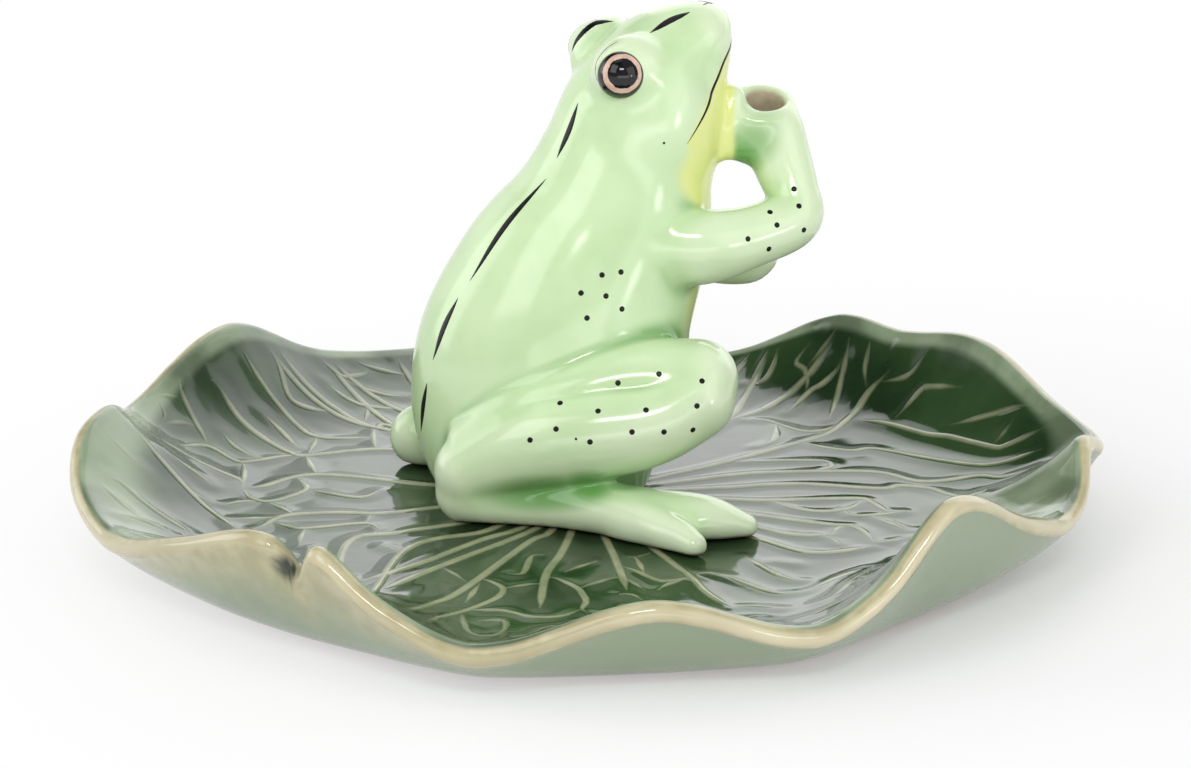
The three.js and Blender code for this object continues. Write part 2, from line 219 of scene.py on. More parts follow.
# Veins of the leaf, in pixels of the photograph. The ribs start at the frog and run on to the hub.
RIBS = [
    [(396, 449), (306, 455), (290, 452), (275, 445), (240, 419), (221, 391), (211, 380)],
    [(391, 426), (375, 427), (341, 412), (330, 405), (306, 384), (275, 344)],
    [(436, 485), (318, 474), (262, 486), (243, 487)],
    [(436, 507), (380, 513), (340, 512), (294, 514), (276, 518), (264, 525), (252, 529)],
    [(470, 521), (400, 532), (345, 546), (325, 549), (308, 546)],
    [(500, 525), (480, 532), (403, 552), (347, 571)],
    [(520, 528), (480, 540), (420, 563), (363, 580)],
    [(530, 531), (440, 566), (377, 590)],
    [(548, 533), (530, 541), (478, 579), (450, 597), (430, 604), (401, 608)],
    [(570, 535), (560, 555), (546, 575), (540, 608)],
    [(605, 537), (616, 560), (627, 590)],
    [(648, 544), (690, 576), (704, 590), (718, 600), (733, 607)],
    [(757, 538), (790, 548), (812, 552), (838, 551), (872, 546)],
    [(762, 528), (785, 533), (810, 535), (833, 534)],
    [(758, 515), (828, 524), (848, 525), (862, 530), (873, 541)],
    [(728, 499), (770, 500), (855, 498), (872, 502), (886, 510), (900, 511)],
    [
        (730, 487), (775, 484), (815, 484), (880, 488), (900, 485), (930, 488), (950, 494), (970, 495),
        (1000, 484),
    ],
    [(730, 475), (775, 472), (872, 471), (920, 481), (975, 476), (1000, 477), (1020, 472), (1035, 466)],
    [(720, 463), (815, 437), (845, 421), (855, 412), (870, 391), (890, 370), (912, 336)],
]
LINKS = [
    [(306, 456), (311, 466), (317, 474)],
    [(308, 454), (316, 440), (315, 436)],
    [(374, 428), (373, 438), (376, 449)],
    [(374, 437), (330, 438), (315, 436), (304, 431), (281, 408), (240, 345)],
    [(262, 412), (280, 430), (299, 448)],
    [(412, 376), (366, 366), (352, 357)],
    [(366, 367), (365, 374), (344, 377), (334, 371), (317, 354)],
    [(344, 378), (352, 384), (386, 395), (408, 396)],
    [(326, 381), (340, 394), (354, 402), (367, 406), (402, 409)],
    [(368, 406), (367, 416), (364, 423)],
    [(263, 341), (272, 353), (280, 368), (291, 399), (317, 410), (333, 411)],
    [(207, 446), (203, 435), (183, 397), (179, 383), (179, 372)],
    [(146, 392), (155, 396), (183, 397)],
    [(157, 397), (165, 415), (161, 424)],
    [(161, 424), (180, 423), (198, 426)],
    [(161, 424), (159, 432), (165, 439)],
    [(172, 443), (207, 446), (235, 460), (243, 462), (284, 456), (304, 455)],
    [(243, 462), (244, 473), (244, 486)],
    [(222, 432), (232, 444), (246, 453), (258, 458)],
    [(298, 478), (306, 489), (280, 499), (262, 501), (250, 497), (243, 489)],
    [(306, 489), (358, 497), (380, 490)],
    [(294, 514), (282, 508), (266, 501)],
    [(214, 503), (225, 504), (243, 501), (262, 501)],
    [(278, 517), (255, 518), (230, 518)],
    [(272, 521), (288, 526), (305, 528), (364, 523), (380, 529)],
    [(305, 528), (301, 536), (299, 545)],
    [(366, 523), (371, 514)],
    [(403, 551), (392, 548), (382, 545)],
    [(441, 566), (453, 573), (466, 581)],
    [(480, 583), (475, 590), (465, 603)],
    [(478, 578), (490, 581), (503, 588), (500, 595), (490, 601), (440, 617), (424, 624)],
    [(503, 588), (530, 584), (542, 584)],
    [(460, 610), (500, 610), (528, 616), (550, 617), (564, 615), (582, 609)],
    [(546, 577), (556, 578), (576, 587), (583, 595), (586, 602), (582, 609), (588, 613)],
    [(579, 588), (604, 580), (620, 577)],
    [(507, 573), (516, 574), (524, 572), (532, 556), (543, 555)],
    [(564, 572), (584, 565), (597, 561)],
    [(619, 566), (632, 569), (658, 580), (672, 580), (690, 577)],
    [(628, 557), (636, 558), (645, 574)],
    [(636, 557), (650, 553)],
    [(690, 577), (668, 584), (658, 590)],
    [(621, 577), (632, 582), (645, 590)],
    [(619, 594), (631, 594), (643, 600)],
    [(505, 633), (520, 636), (553, 626), (571, 623)],
    [(461, 612), (464, 622), (470, 632), (482, 636), (498, 634), (506, 627), (501, 620), (468, 621)],
    [(692, 572), (712, 573), (730, 576)],
    [(745, 556), (772, 572), (788, 578), (803, 580)],
    [(722, 574), (772, 592), (797, 592)],
    [(735, 606), (757, 606), (780, 608)],
    [(822, 535), (831, 538), (839, 544)],
    [(833, 534), (840, 527), (852, 525)],
    [(772, 500), (787, 506), (805, 510), (828, 511), (848, 508), (862, 501)],
    [(843, 509), (852, 515), (880, 514), (902, 511)],
    [(872, 516), (893, 524), (910, 531)],
    [(873, 542), (895, 540), (912, 536)],
    [(762, 562), (778, 561), (794, 563)],
    [(808, 590), (848, 573), (868, 567)],
    [(820, 601), (840, 591), (874, 567)],
    [(800, 618), (843, 600), (862, 588)],
    [(797, 626), (822, 620), (870, 594)],
    [(880, 382), (902, 378), (913, 372), (929, 349)],
    [(742, 419), (765, 420), (800, 430), (822, 430), (840, 424)],
    [(776, 424), (777, 433), (772, 441), (757, 446)],
    [(787, 412), (808, 393), (822, 384), (836, 370), (843, 358)],
    [(811, 341), (796, 362), (804, 369), (807, 380), (806, 393)],
    [(841, 322), (823, 348), (805, 369)],
    [(829, 419), (843, 370), (849, 338)],
    [(866, 386), (865, 366), (871, 334)],
    [(896, 417), (918, 394), (928, 387), (962, 387), (994, 354)],
    [(745, 383), (758, 384), (768, 376), (775, 362), (778, 347)],
    [(858, 420), (885, 423), (925, 434), (950, 437), (992, 447), (1005, 446), (1050, 424)],
    [(950, 425), (1018, 407), (1031, 408)],
    [(990, 446), (1000, 438), (1015, 417)],
    [(800, 441), (820, 446), (850, 450), (880, 449), (968, 464), (995, 464), (1018, 458), (1042, 449)],
    [(740, 461), (815, 460), (832, 464), (822, 469), (800, 471)],
    [(1030, 507), (1045, 497), (1060, 488)],
    [(82, 466), (105, 475), (128, 488), (172, 521), (193, 534)],
    [(102, 428), (130, 456), (142, 467)],
    [(127, 418), (157, 455), (186, 487), (220, 517), (236, 528)],
    [(148, 431), (170, 444), (235, 477), (243, 486)],
    [(163, 447), (197, 473), (212, 485)],
    [(92, 480), (108, 490), (143, 519)],
    [(112, 513), (130, 516), (152, 523), (178, 535)],
    [(186, 487), (196, 494), (212, 503)],
]
RIB_HALF_WIDTH = 1.05
LINK_HALF_WIDTH = 0.85
VEIN_SPREAD = 0.45  # how much broader are the veins that run lengthways
VEIN_FADE = 0.55  # how much fainter they are at the lip
VEIN_TAPER = 5  # points at each end over which a vein thins
VEIN_END = 0.25  # least share of its height at an end
VEIN_COLUMNS = 9
RIB_STARTS = (0.06, 0.5)  # shares of the way from the hub to where a rib shows
VEIN_HALO = 0.3  # share of a vein's colour right beside it
VEIN_HALO_WIDTH = 1.6

# Painted marks, in pixels of the photograph
DOTS = [
    (602, 275), (621, 272), (581, 293), (606, 296), (622, 309), (587, 318),
    (618, 383), (659, 374), (702, 381), (560, 403), (598, 411), (646, 410), (697, 406),
    (556, 429), (530, 440), (590, 442), (632, 432), (664, 432), (693, 430),
]
ARM_DOTS = [(794, 189), (799, 206), (770, 212), (777, 225), (804, 230), (748, 239), (769, 249)]
TINY_DOTS = [(664, 143), (576, 439)]
DASHES = [
    [(578, 103), (569, 130), (557, 158)],
    [(546, 179), (505, 226), (470, 281)],
    [(458, 298), (444, 327), (433, 360)],
    [(427, 383), (423, 407), (421, 431)],
    [(690, 12), (671, 20), (650, 33)],
]
NOSTRIL = [(703, 5), (708, 3), (713, 4)]
FAR_BROW = [(572, 51), (576, 41), (584, 31), (594, 23.5), (604, 21.5), (613, 21.5)]  # not mirrored
MOUTH = [(726, 50), (724, 62), (716, 85), (705, 110), (687, 144)]

# Painted marks, in mm
MOUTH_FRONT = (25.4, 0, 74.6)  # in the frog's frame
MOUTH_EASING = 100  # rounds of evening out its bends
LID_LINE_REACH = 6  # from the axis of the near eye
LID_LINE_TURNS = range(95, 200, 5)  # in degrees, from over the eye to behind it
DOT_RADIUS = 0.56
TINY_DOT_RADIUS = 0.26
DASH_HALF_WIDTH = 0.9
FAR_BROW_HALF_WIDTH = 1.1
LID_LINE_HALF_WIDTH = 0.13
NOSTRIL_HALF_WIDTH = 0.3
MOUTH_HALF_WIDTH = 0.46
LEAST_HALF_WIDTH = 0.02
PAINT_LIFT = 0.05  # over the skin
PAINT_SINK = -0.06  # of its edges into the skin

# Back edge of the yellow glaze on jaw, throat and belly, as pixels down and across
YELLOW_EDGE = [
    (44, 742), (52, 728), (64, 722), (84, 714), (107, 705), (130, 694), (144, 687), (152, 689),
    (170, 680), (180, 679), (190, 682), (200, 690), (207, 699), (282, 697), (300, 690), (335, 686),
]
YELLOW_BLUR = [(146, 4), (165, 14)]  # pixels down, and width of the edge
YELLOW_FRONT = 737  # pixels across, where the wrist turns green
YELLOW_FRONT_BLUR = 5
YELLOW_BASE = 26  # mm over the seat
YELLOW_BASE_BLUR = 4
YELLOW_DEPTH = 1.6  # mm from the skin of body, muzzle and wrist within which it lies

# Deep green painted shade under the fist and at the foot, with glaze pooled in the foot's crease: pixel,
# half-width and half-height in mm, and strength
POOLS_AND_SHADE = [
    ((741, 154), 5.5, 5.5, 1.3),
    ((756, 140), 5.5, 5.5, 1.0),
    ((764, 124), 5.5, 5.5, 0.7),
    ((545, 494), 14, 4, 1.3),
    ((588, 487), 6, 3.4, 1.4),
]
HAND_START = 20  # mm ahead, where the right hand's painted shade begins
HAND_LEFT = 2  # mm to the left, where they end
BASE_SHADE = 1.1  # strength of the painted shade at the belly's base
BASE_SHADE_TOP = 15  # mm over the seat
BASE_SHADE_FADE = 12
BASE_SHADE_HALF = 18  # mm to each side
CREASE_BEND = 0.45  # mm, of the skin in a crease that is full of glaze
RIDGE_BEND = 0.5  # mm, of the skin on a ridge that is bare of it

# Glazes, as screen colours of 0 to 255. A pair is mottled from one to the other.
LEAF_GREEN = ((34, 54, 32), (56, 80, 48))
# paler green of thin glaze near the lip; on the right fold it is a painted sheen
LEAF_THIN_AND_SHEEN = (144, 160, 132)
VEIN_GREEN = ((130, 137, 106), (154, 157, 125))
WALL_GREEN = ((112, 132, 106), (140, 155, 128))
LIP_BEIGE = ((172, 164, 128), (188, 182, 146))
LIP_WORN = ((178, 170, 136), (208, 199, 168))
DIMPLE_GREEN = (44, 56, 40)
FOOT_CLAY = ((176, 146, 116), (206, 178, 148))
# dark brown: painted contact shadow along the foot's lowest edge
FOOT_CONTACT_SHADOW = (104, 72, 52)
FROG_GREEN = ((192, 220, 168), (206, 230, 184))
FROG_RIDGE = (224, 236, 206)
FROG_POOL_AND_SHADE = (100, 160, 80)
# deep green of glaze pooled in creases; also painted shade under the fist, at the feet and at the belly's
# base
FROG_YELLOW = (224, 232, 146)
FROG_CLAY = ((150, 138, 112), (196, 184, 158))
IRIS = ((206, 170, 150), (222, 192, 174))
EYE_BLACK = (22, 22, 24)
PAINT_BLACK = ((10, 11, 11), (28, 30, 28))
PUPIL_EDGE = (0.61, 0.635)  # shares of the eye's radius
IRIS_EDGE = (0.795, 0.82)
GLAZE_IOR = 1.6
PAINT_IOR = 1.3
RIPPLE_DEPTH = 0.0003  # of the glaze, in metres

# Studio
FLOOR_HALF = 4  # metres
FLOOR_GREY = 0.9
SHADE_MIDDLE = (0.045, -0.02, 0)  # of the part of the floor that keeps the shadow, in metres
SHADE_RADIUS = 0.2
SHADE_WHITE = 0.2  # share of white in its middle
ROOM_LIGHT = 0.53  # strength of the white surroundings
ROOM_FRONT = 0.25  # strength of their front in the gloss
LAMPS = [
    # name, place and target in mm, width and height in mm, watts
    ("left_panel", (-640, 330, 330), (0, 0, 40), 420, 560, 1.1),
    ("left_softbox", (-527, -391, 544), (0, 0, 40), 420, 520, 1.5),
    ("front_softbox", (-90, -640, 560), (0, 0, 40), 270, 110, 1.3),
    ("front_fill", (-40, -900, 60), (0, 0, 20), 900, 200, 1.1),
    ("right_softbox", (500, -580, 330), (0, 0, 40), 520, 600, 1.1),
    ("right_spot", (560, -700, 90), (0, 0, 50), 110, 110, 0.25),
    ("top_softbox", (-160, 20, 820), (0, 0, 30), 420, 420, 0.45),
    ("back_panel", (433, 554, 405), (0, 0, 30), 1000, 600, 1.65),
]


# Numbers and lines

def unit(vector):
    return vector / np.linalg.norm(vector)


def limited(values):
    """Values held between 0 and 1."""
    return np.clip(values, 0, 1)


def smooth_line(sections, steps):
    """More sections between the listed ones, on a smooth curve."""
    rows = np.array(sections, dtype=float)
    rows = np.vstack((2 * rows[0] - rows[1], rows, 2 * rows[-1] - rows[-2]))
    out = []
    for a, b, c, d in zip(rows, rows[1:], rows[2:], rows[3:]):
        for t in np.arange(steps) / steps:
            out.append(0.5 * (
                2 * b + (c - a) * t + (2 * a - 5 * b + 4 * c - d) * t ** 2 + (3 * b - a - 3 * c + d) * t ** 3
            ))
    out.append(rows[-2])
    return np.array(out)


def nearest(spots, x, y, chunk):
    """Which of some spots in a plane is nearest to each place, and how far away it is."""
    which = np.empty(len(x), dtype=int)
    away = np.empty(len(x))
    for start in range(0, len(x), chunk):
        part = slice(start, start + chunk)
        gap = (x[part, None] - spots[:, 0]) ** 2 + (y[part, None] - spots[:, 1]) ** 2
        which[part] = gap.argmin(axis=1)
        away[part] = np.sqrt(gap.min(axis=1))
    return which, away


def circle(count):
    """Even places round a circle of radius 1."""
    turns = [2 * math.pi * i / count for i in range(count)]
    return [(math.cos(turn), math.sin(turn)) for turn in turns]


def grid_faces(first, rows, columns, closed=False):
    """Quads between points that lie row after row. A closed row ends where it starts."""
    faces = []
    for k in range(rows - 1):
        start = first + k * columns
        for i in range(columns if closed else columns - 1):
            a = start + i
            b = start + (i + 1) % columns
            faces.append((a, a + columns, b + columns, b))
    return faces


def dome_faces(tip, rings, around):
    """Triangles from a tip to the ring after it, and quads on to further rings."""
    start = tip + 1
    fan = [(tip, start + i, start + (i + 1) % around) for i in range(around)]
    return fan + grid_faces(start, rings, around, closed=True)


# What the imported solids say

def node_points(name):
    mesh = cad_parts[name].data
    points = np.empty(3 * len(mesh.vertices))
    mesh.vertices.foreach_get("co", points)
    return points.reshape(-1, 3) / MM


def floor_height():
    near_hub = np.hypot(LEAF_POINTS[:, 0], LEAF_POINTS[:, 1]) < 1
    return LEAF_POINTS[near_hub, 2].max()


def frog_origin():
    right_low, right_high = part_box("right_eye")
    left_low, left_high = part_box("left_eye")
    middle = (right_low[1] + right_high[1] + left_low[1] + left_high[1]) / 4
    return np.array((0, middle / MM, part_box("frog_body")[0][2] / MM))


LEAF_POINTS = node_points("leaf_dish")
FLOOR_HEIGHT = floor_height()
FROG_AT = frog_origin()


# Camera

def outward(bearing, height):
    """Direction out from the dish, at a bearing from straight across the frog's right and at a height."""
    level = math.cos(height)
    return np.array((math.sin(bearing) * level, -math.cos(bearing) * level, math.sin(height)))


def camera_axes():
    """Place of the camera in mm, and its forward, right and up."""
    place = np.array((0, 0, FLOOR_HEIGHT)) + VIEW_DISTANCE * outward(VIEW_BEARING, VIEW_HEIGHT)
    turn = VIEW_BEARING + math.atan((HUB_PIXEL[0] - PHOTO[0] / 2) / FOCAL_PIXELS)
    dip = VIEW_HEIGHT - math.atan((HUB_PIXEL[1] - PHOTO[1] / 2) / FOCAL_PIXELS)
    forward = -outward(turn, dip)
    right = unit(np.cross(forward, UPRIGHT))
    return place, forward, right, np.cross(right, forward)


VIEW_PLACE, FORWARD, RIGHT, UP = camera_axes()


def sight(pixel):
    """Direction from the camera through a pixel of the photograph."""
    across = (pixel[0] - PHOTO[0] / 2) / FOCAL_PIXELS
    down = (pixel[1] - PHOTO[1] / 2) / FOCAL_PIXELS
    return unit(FORWARD + across * RIGHT - down * UP)


def shown_at(points):
    """Pixels across and down at which places in mm show in the photograph."""
    lines = points - VIEW_PLACE
    depth = lines @ FORWARD
    across = PHOTO[0] / 2 + FOCAL_PIXELS * (lines @ RIGHT) / depth
    return across, PHOTO[1] / 2 - FOCAL_PIXELS * (lines @ UP) / depth


def add_camera():
    data = bpy.data.cameras.new("camera")
    data.sensor_width = SENSOR_WIDTH
    data.sensor_fit = "HORIZONTAL"
    data.lens = SENSOR_WIDTH * FOCAL_PIXELS / PHOTO[0]
    data.clip_start = 0.01
    camera = bpy.data.objects.new("camera", data)
    turn = Matrix((RIGHT, UP, -FORWARD)).transposed().to_4x4()
    camera.matrix_world = Matrix.Translation(Vector(VIEW_PLACE * MM)) @ turn
    bpy.context.collection.objects.link(camera)
    bpy.context.scene.camera = camera


# Meshes and materials

def add_piece(name, points, faces, body, slot, glaze, replaced=(), **marks):
    """A smooth-shaded mesh that rides on a body, from points in mm and numbers per point for its glaze."""
    mesh = bpy.data.meshes.new(name)
    mesh.from_pydata((np.asarray(points) * MM).tolist(), [], faces)
    mesh.shade_smooth()
    mesh.update()
    piece = bpy.data.objects.new(name, mesh)
    bpy.context.collection.objects.link(piece)
    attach(piece, body)
    if replaced:
        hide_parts(*replaced)
    for mark, values in marks.items():
        layer = mesh.attributes.new(mark, "FLOAT", "POINT")
        layer.data.foreach_set("value", np.asarray(values, dtype=np.float32))
    mesh.materials.append(glaze)
    return piece


def linear(colour):
    """A screen colour as a linear one, with full cover."""
    shares = [value / 255 for value in colour]
    return *(s / 12.92 if s <= 0.04045 else ((s + 0.055) / 1.055) ** 2.4 for s in shares), 1


class Nodes:
    """The nodes of a material or of the world."""

    def __init__(self, owner):
        owner.use_nodes = True
        self.owner = owner
        self.tree = owner.node_tree
        self.shader = self.tree.nodes.get("Principled BSDF")

    def add(self, kind, **settings):
        node = self.tree.nodes.new("ShaderNode" + kind)
        for key, value in settings.items():
            setattr(node, key, value)
        return node

    def feed(self, node, **values):
        """Links or sets inputs of a node, by their names with _ for a space."""
        for key, value in values.items():
            self.join(node.inputs[key.replace("_", " ")], value)

    def join(self, socket, value):
        if isinstance(value, bpy.types.NodeSocket):
            self.tree.links.new(value, socket)
        else:
            socket.default_value = value

    def attribute(self, name):
        return self.add("Attribute", attribute_name=name).outputs["Fac"]

    def noise(self, size, detail):
        """Noise with features of a given size in metres."""
        node = self.add("TexNoise")
        place = self.add("TexCoord").outputs["Object"]
        self.feed(node, Vector=place, Scale=1 / size, Detail=detail, Roughness=0.5)
        return node.outputs["Fac"]

    def span(self, value, low, high, to_low=0.0, to_high=1.0):
        node = self.add("MapRange", interpolation_type="SMOOTHSTEP")
        self.feed(node, Value=value, From_Min=low, From_Max=high, To_Min=to_low, To_Max=to_high)
        return node.outputs["Result"]

    def math(self, operation, first, second):
        node = self.add("Math", operation=operation)
        self.join(node.inputs[0], first)
        self.join(node.inputs[1], second)
        return node.outputs[0]

    def mix(self, share, first, second):
        """A blend of two colours, each a socket or a screen colour."""
        node = self.add("Mix", data_type="RGBA")
        self.feed(node, Factor=share)
        colours = [s for s in node.inputs if s.type == "RGBA"]
        for socket, colour in zip(colours, (first, second)):
            self.join(socket, colour if isinstance(colour, bpy.types.NodeSocket) else linear(colour))
        return [s for s in node.outputs if s.type == "RGBA"][0]

    def finish(self, colour, roughness, ripple=None, strength=None):
        self.feed(self.shader, Base_Color=colour, Roughness=roughness)
        if ripple is not None:
            node = self.add("Bump")
            self.feed(node, Strength=strength, Distance=RIPPLE_DEPTH, Height=ripple)
            self.feed(self.shader, Normal=node.outputs["Normal"])
        return self.owner


# Leaf

def closed_curve(bearings, values, wanted):
    """A smooth closed curve through values at rising bearings, at other bearings."""
    full = 2 * math.pi
    b = np.concatenate((bearings[-2:] - full, bearings, bearings[:2] + full))
    v = np.concatenate((values[-2:], values, values[:2]))
    slope = np.zeros_like(v)
    slope[1:-1] = (v[2:] - v[:-2]) / (b[2:] - b[:-2])
    wanted = bearings[0] + np.mod(wanted - bearings[0], full)
    i = np.clip(np.searchsorted(b, wanted, side="right") - 1, 1, len(b) - 3)
    width = b[i + 1] - b[i]
    t = (wanted - b[i]) / width
    rise = t * t * (3 - 2 * t)
    leave = t * (1 - t) ** 2 * width
    arrive = -t * t * (1 - t) * width
    return v[i] + (v[i + 1] - v[i]) * rise + slope[i] * leave + slope[i + 1] * arrive


class Leaf:
    """The dish's form, read from its solid: rim, flat floor and foot."""

    def __init__(self):
        x, y, height = LEAF_POINTS.T
        radius = np.hypot(x, y)
        bearing = np.mod(np.arctan2(y, x), 2 * math.pi)
        self.foot = radius[height < 0.01].max()
        self.flat = radius[np.abs(height - FLOOR_HEIGHT) < 0.01].max()
        border = radius > self.flat + 5
        order = np.argsort(bearing[border])
        turns, reaches, rises = (part[border][order] for part in (bearing, radius, height))
        slices = np.split(np.arange(len(turns)), np.nonzero(np.diff(turns) > 0.004)[0] + 1)
        rim = [group[self.tip(reaches[group], rises[group])] for group in slices]
        self.turns, self.reaches, self.rises = turns[rim], reaches[rim], rises[rim]

    def tip(self, reaches, rises):
        """Which point of a slice is the outer edge of the lip's roll."""
        best = reaches.argmax()
        for _ in range(3):
            slope = math.atan2((rises[best] - FLOOR_HEIGHT) * FLOOR_RISE, reaches[best] - self.flat)
            best = (reaches * math.cos(slope) + rises * math.sin(slope)).argmax()
        return best

    def roll(self, turn, lean):
        """Radius and height of the lip's surface at bearings, and at an angle up from its outer edge."""
        reach = closed_curve(self.turns, self.reaches, turn)
        top = closed_curve(self.turns, self.rises, turn)
        slope = np.arctan2((top - FLOOR_HEIGHT) * FLOOR_RISE, reach - self.flat)
        radius = reach - LIP_RADIUS * np.cos(slope) + LIP_RADIUS * np.cos(slope + lean)
        return radius, top - LIP_RADIUS * np.sin(slope) + LIP_RADIUS * np.sin(slope + lean)

    def inside(self, turn):
        """Radius and height at which the bowl meets the lip."""
        return self.roll(turn, math.pi / 2)

    def way_out(self, x, y):
        """Share of the way from the flat floor to the lip, and the lip's height there."""
        reach, height = self.inside(np.arctan2(y, x))
        return limited((np.hypot(x, y) - self.flat) / (reach - self.flat)), height

    def top(self, x, y):
        """Height of the upper surface."""
        share, height = self.way_out(x, y)
        return FLOOR_HEIGHT + (height - FLOOR_HEIGHT) * share ** FLOOR_RISE

    def struck(self, pixel):
        """Where a pixel's line of sight meets the upper surface."""
        line = sight(pixel)
        first = (VIEW_PLACE[2] - self.rises.max()) / -line[2]
        last = (VIEW_PLACE[2] - FLOOR_HEIGHT) / -line[2]
        trail = VIEW_PLACE + np.linspace(first, last, 400)[:, None] * line
        x, y, z = trail.T
        under = (z <= self.top(x, y) + 1e-6) & (np.hypot(x, y) < self.inside(np.arctan2(y, x))[0])
        return trail[np.argmax(under)] if under.any() else None


LEAF = Leaf()


def smooth_plan(points, spacing=0.9):
    """A smooth line in plan through a few points, in even steps."""
    line = smooth_line([(*p, 0) for p in points], CURVE_STEPS)[:, :2]
    run = np.concatenate(([0], np.cumsum(np.linalg.norm(np.diff(line, axis=0), axis=1))))
    wanted = np.linspace(0, run[-1], max(3, int(run[-1] / spacing) + 1))
    return np.stack([np.interp(wanted, run, line[:, k]) for k in range(2)], 1)


def plan_point(turn, reach):
    """A place in plan at a bearing and a distance from the hub."""
    return reach * np.cos(turn), reach * np.sin(turn)


def hidden_ribs():
    """Ribs, forks and links of the part of the leaf that the frog hides."""
    lines = []
    for degrees in HIDDEN_RIBS:
        turn = math.radians(degrees + HIDDEN_SWAY * math.sin(degrees))
        fork = LEAF.flat * (FORK_AT + FORK_SWAY * math.cos(3 * degrees))
        end = LEAF.inside(turn)[0] - HIDDEN_GAP
        middle = (fork + end) / 2
        start = plan_point(turn, fork)
        lines.append([(0, 0), plan_point(turn + HIDDEN_BEND, fork / 2), start])
        for shift in (-FORK_TURN, FORK_TURN):
            bend = plan_point(turn + FORK_BEND * shift, middle)
            lines.append([start, bend, plan_point(turn + shift, end)])
        for share in HIDDEN_LINKS:
            reach = share * fork
            bend = plan_point(turn + LINK_TURN / 2, reach + LINK_BULGE * fork)
            lines.append([plan_point(turn, reach), bend, plan_point(turn + LINK_TURN, reach)])
    return lines


def lip_hides(turn):
    """How far from the hub the front lip starts to hide the leaf, at a bearing."""
    front = np.linspace(math.pi, 2 * math.pi, 400)
    radius, height = LEAF.inside(front)
    lip_across, lip_down = shown_at(np.stack((*plan_point(front, radius), height), 1))
    reaches = LIP_SHARES * LEAF.inside(turn)[0]
    x, y = plan_point(turn, reaches)
    across, down = shown_at(np.stack((x, y, LEAF.top(x, y)), 1))
    hidden = down > np.interp(across, lip_across, lip_down) + LIP_COVER
    return reaches[np.argmax(hidden)] if hidden.any() else reaches[-1]


def front_ribs():
    """Veins of the part of the leaf that the front lip hides."""
    lines = []
    for degrees in FRONT_RIBS:
        turn = math.radians(degrees)
        start = lip_hides(turn)
        end = LEAF.inside(turn)[0] - FRONT_GAP
        middle = (start + end) / 2
        bend = plan_point(turn + FRONT_BEND, middle)
        tip = plan_point(turn + FRONT_SWAY * math.sin(degrees), end)
        lines.append([plan_point(turn, start), bend, tip])
        if end - start > FRONT_LINKED:
            half, full = (turn + shift for shift in FRONT_LINK)
            lines.append([bend, plan_point(half, middle + FRONT_BULGE), plan_point(full, middle)])
    return lines


def seen_places(pixels):
    """Places in plan of those pixels that show the leaf's upper side."""
    places = [LEAF.struck(pixel) for pixel in pixels]
    return [place[:2] for place in places if place is not None]


def vein_lines():
    """All veins in plan, each with its half-width."""
    veins = []
    for pixels in RIBS:
        places = seen_places(pixels)
        veins.append((smooth_plan([*(share * places[0] for share in RIB_STARTS), *places]), RIB_HALF_WIDTH))
    for pixels in LINKS:
        places = seen_places(pixels)
        if len(places) > 1:
            veins.append((smooth_plan(places), LINK_HALF_WIDTH))
    for line in hidden_ribs() + front_ribs():
        veins.append((smooth_plan(line), RIB_HALF_WIDTH))
    return veins


def cell_dip(distance):
    """How deep the leaf lies under its floor at a distance from the nearest vein."""
    share = limited(distance / CELL_SLOPE)
    return CELL_DIP * share * share * (3 - 2 * share)


def vein_distance(veins, x, y):
    """Distance in plan to the nearest vein."""
    spots = np.concatenate([line for line, _ in veins]).astype(np.float32)
    return nearest(spots, x.astype(np.float32), y.astype(np.float32), 2000)[1]


def thin_glaze_and_sheen(turn, share):
    """How pale the glaze is at a bearing, and at a share of the way from the flat floor to the lip: thin
    glaze, and on the right fold also a painted sheen.
    """
    reach = THIN_EDGE
    for bearing, deep, power in THIN_GLAZE_AND_SHEEN:
        reach = reach + deep * np.maximum(0, np.cos(turn - math.radians(bearing))) ** power
    return limited(1 - (1 - share) / reach)


def vein_mesh(veins):
    """Low rounded ridges along the veins."""
    across = np.linspace(-1, 1, VEIN_COLUMNS)
    crest = (1 - across ** 2) ** 2
    points, faces, crests, thin_and_sheen = [], [], [], []
    first = 0
    for line, half_width in veins:
        along = np.gradient(line, axis=0)
        along /= np.linalg.norm(along, axis=1, keepdims=True)
        steps = np.arange(len(line))
        taper = np.clip(np.minimum(steps, steps[::-1]) / VEIN_TAPER, VEIN_END, 1)[:, None]
        out = half_width * (1 + VEIN_SPREAD * along[:, :1] ** 2) * taper ** 0.5 * across
        x = line[:, :1] - out * along[:, 1:]
        y = line[:, 1:] + out * along[:, :1]
        rise = crest * taper
        z = LEAF.top(x, y) - cell_dip(np.abs(out)) + rise * VEIN_CREST - (1 - rise) * VEIN_SINK
        points.append(np.stack((x, y, z), 2).reshape(-1, 3))
        share = LEAF.way_out(x, y)[0]
        crests.append((crest * taper ** 0.5 * (1 - VEIN_FADE * share)).ravel())
        # rim: thin glaze near the lip, and painted sheen on the right fold
        thin_and_sheen.append(thin_glaze_and_sheen(np.arctan2(y, x), share).ravel())
        faces += grid_faces(first, len(line), VEIN_COLUMNS)
        first += len(line) * VEIN_COLUMNS
    return np.concatenate(points), faces, np.concatenate(crests), np.concatenate(thin_and_sheen)


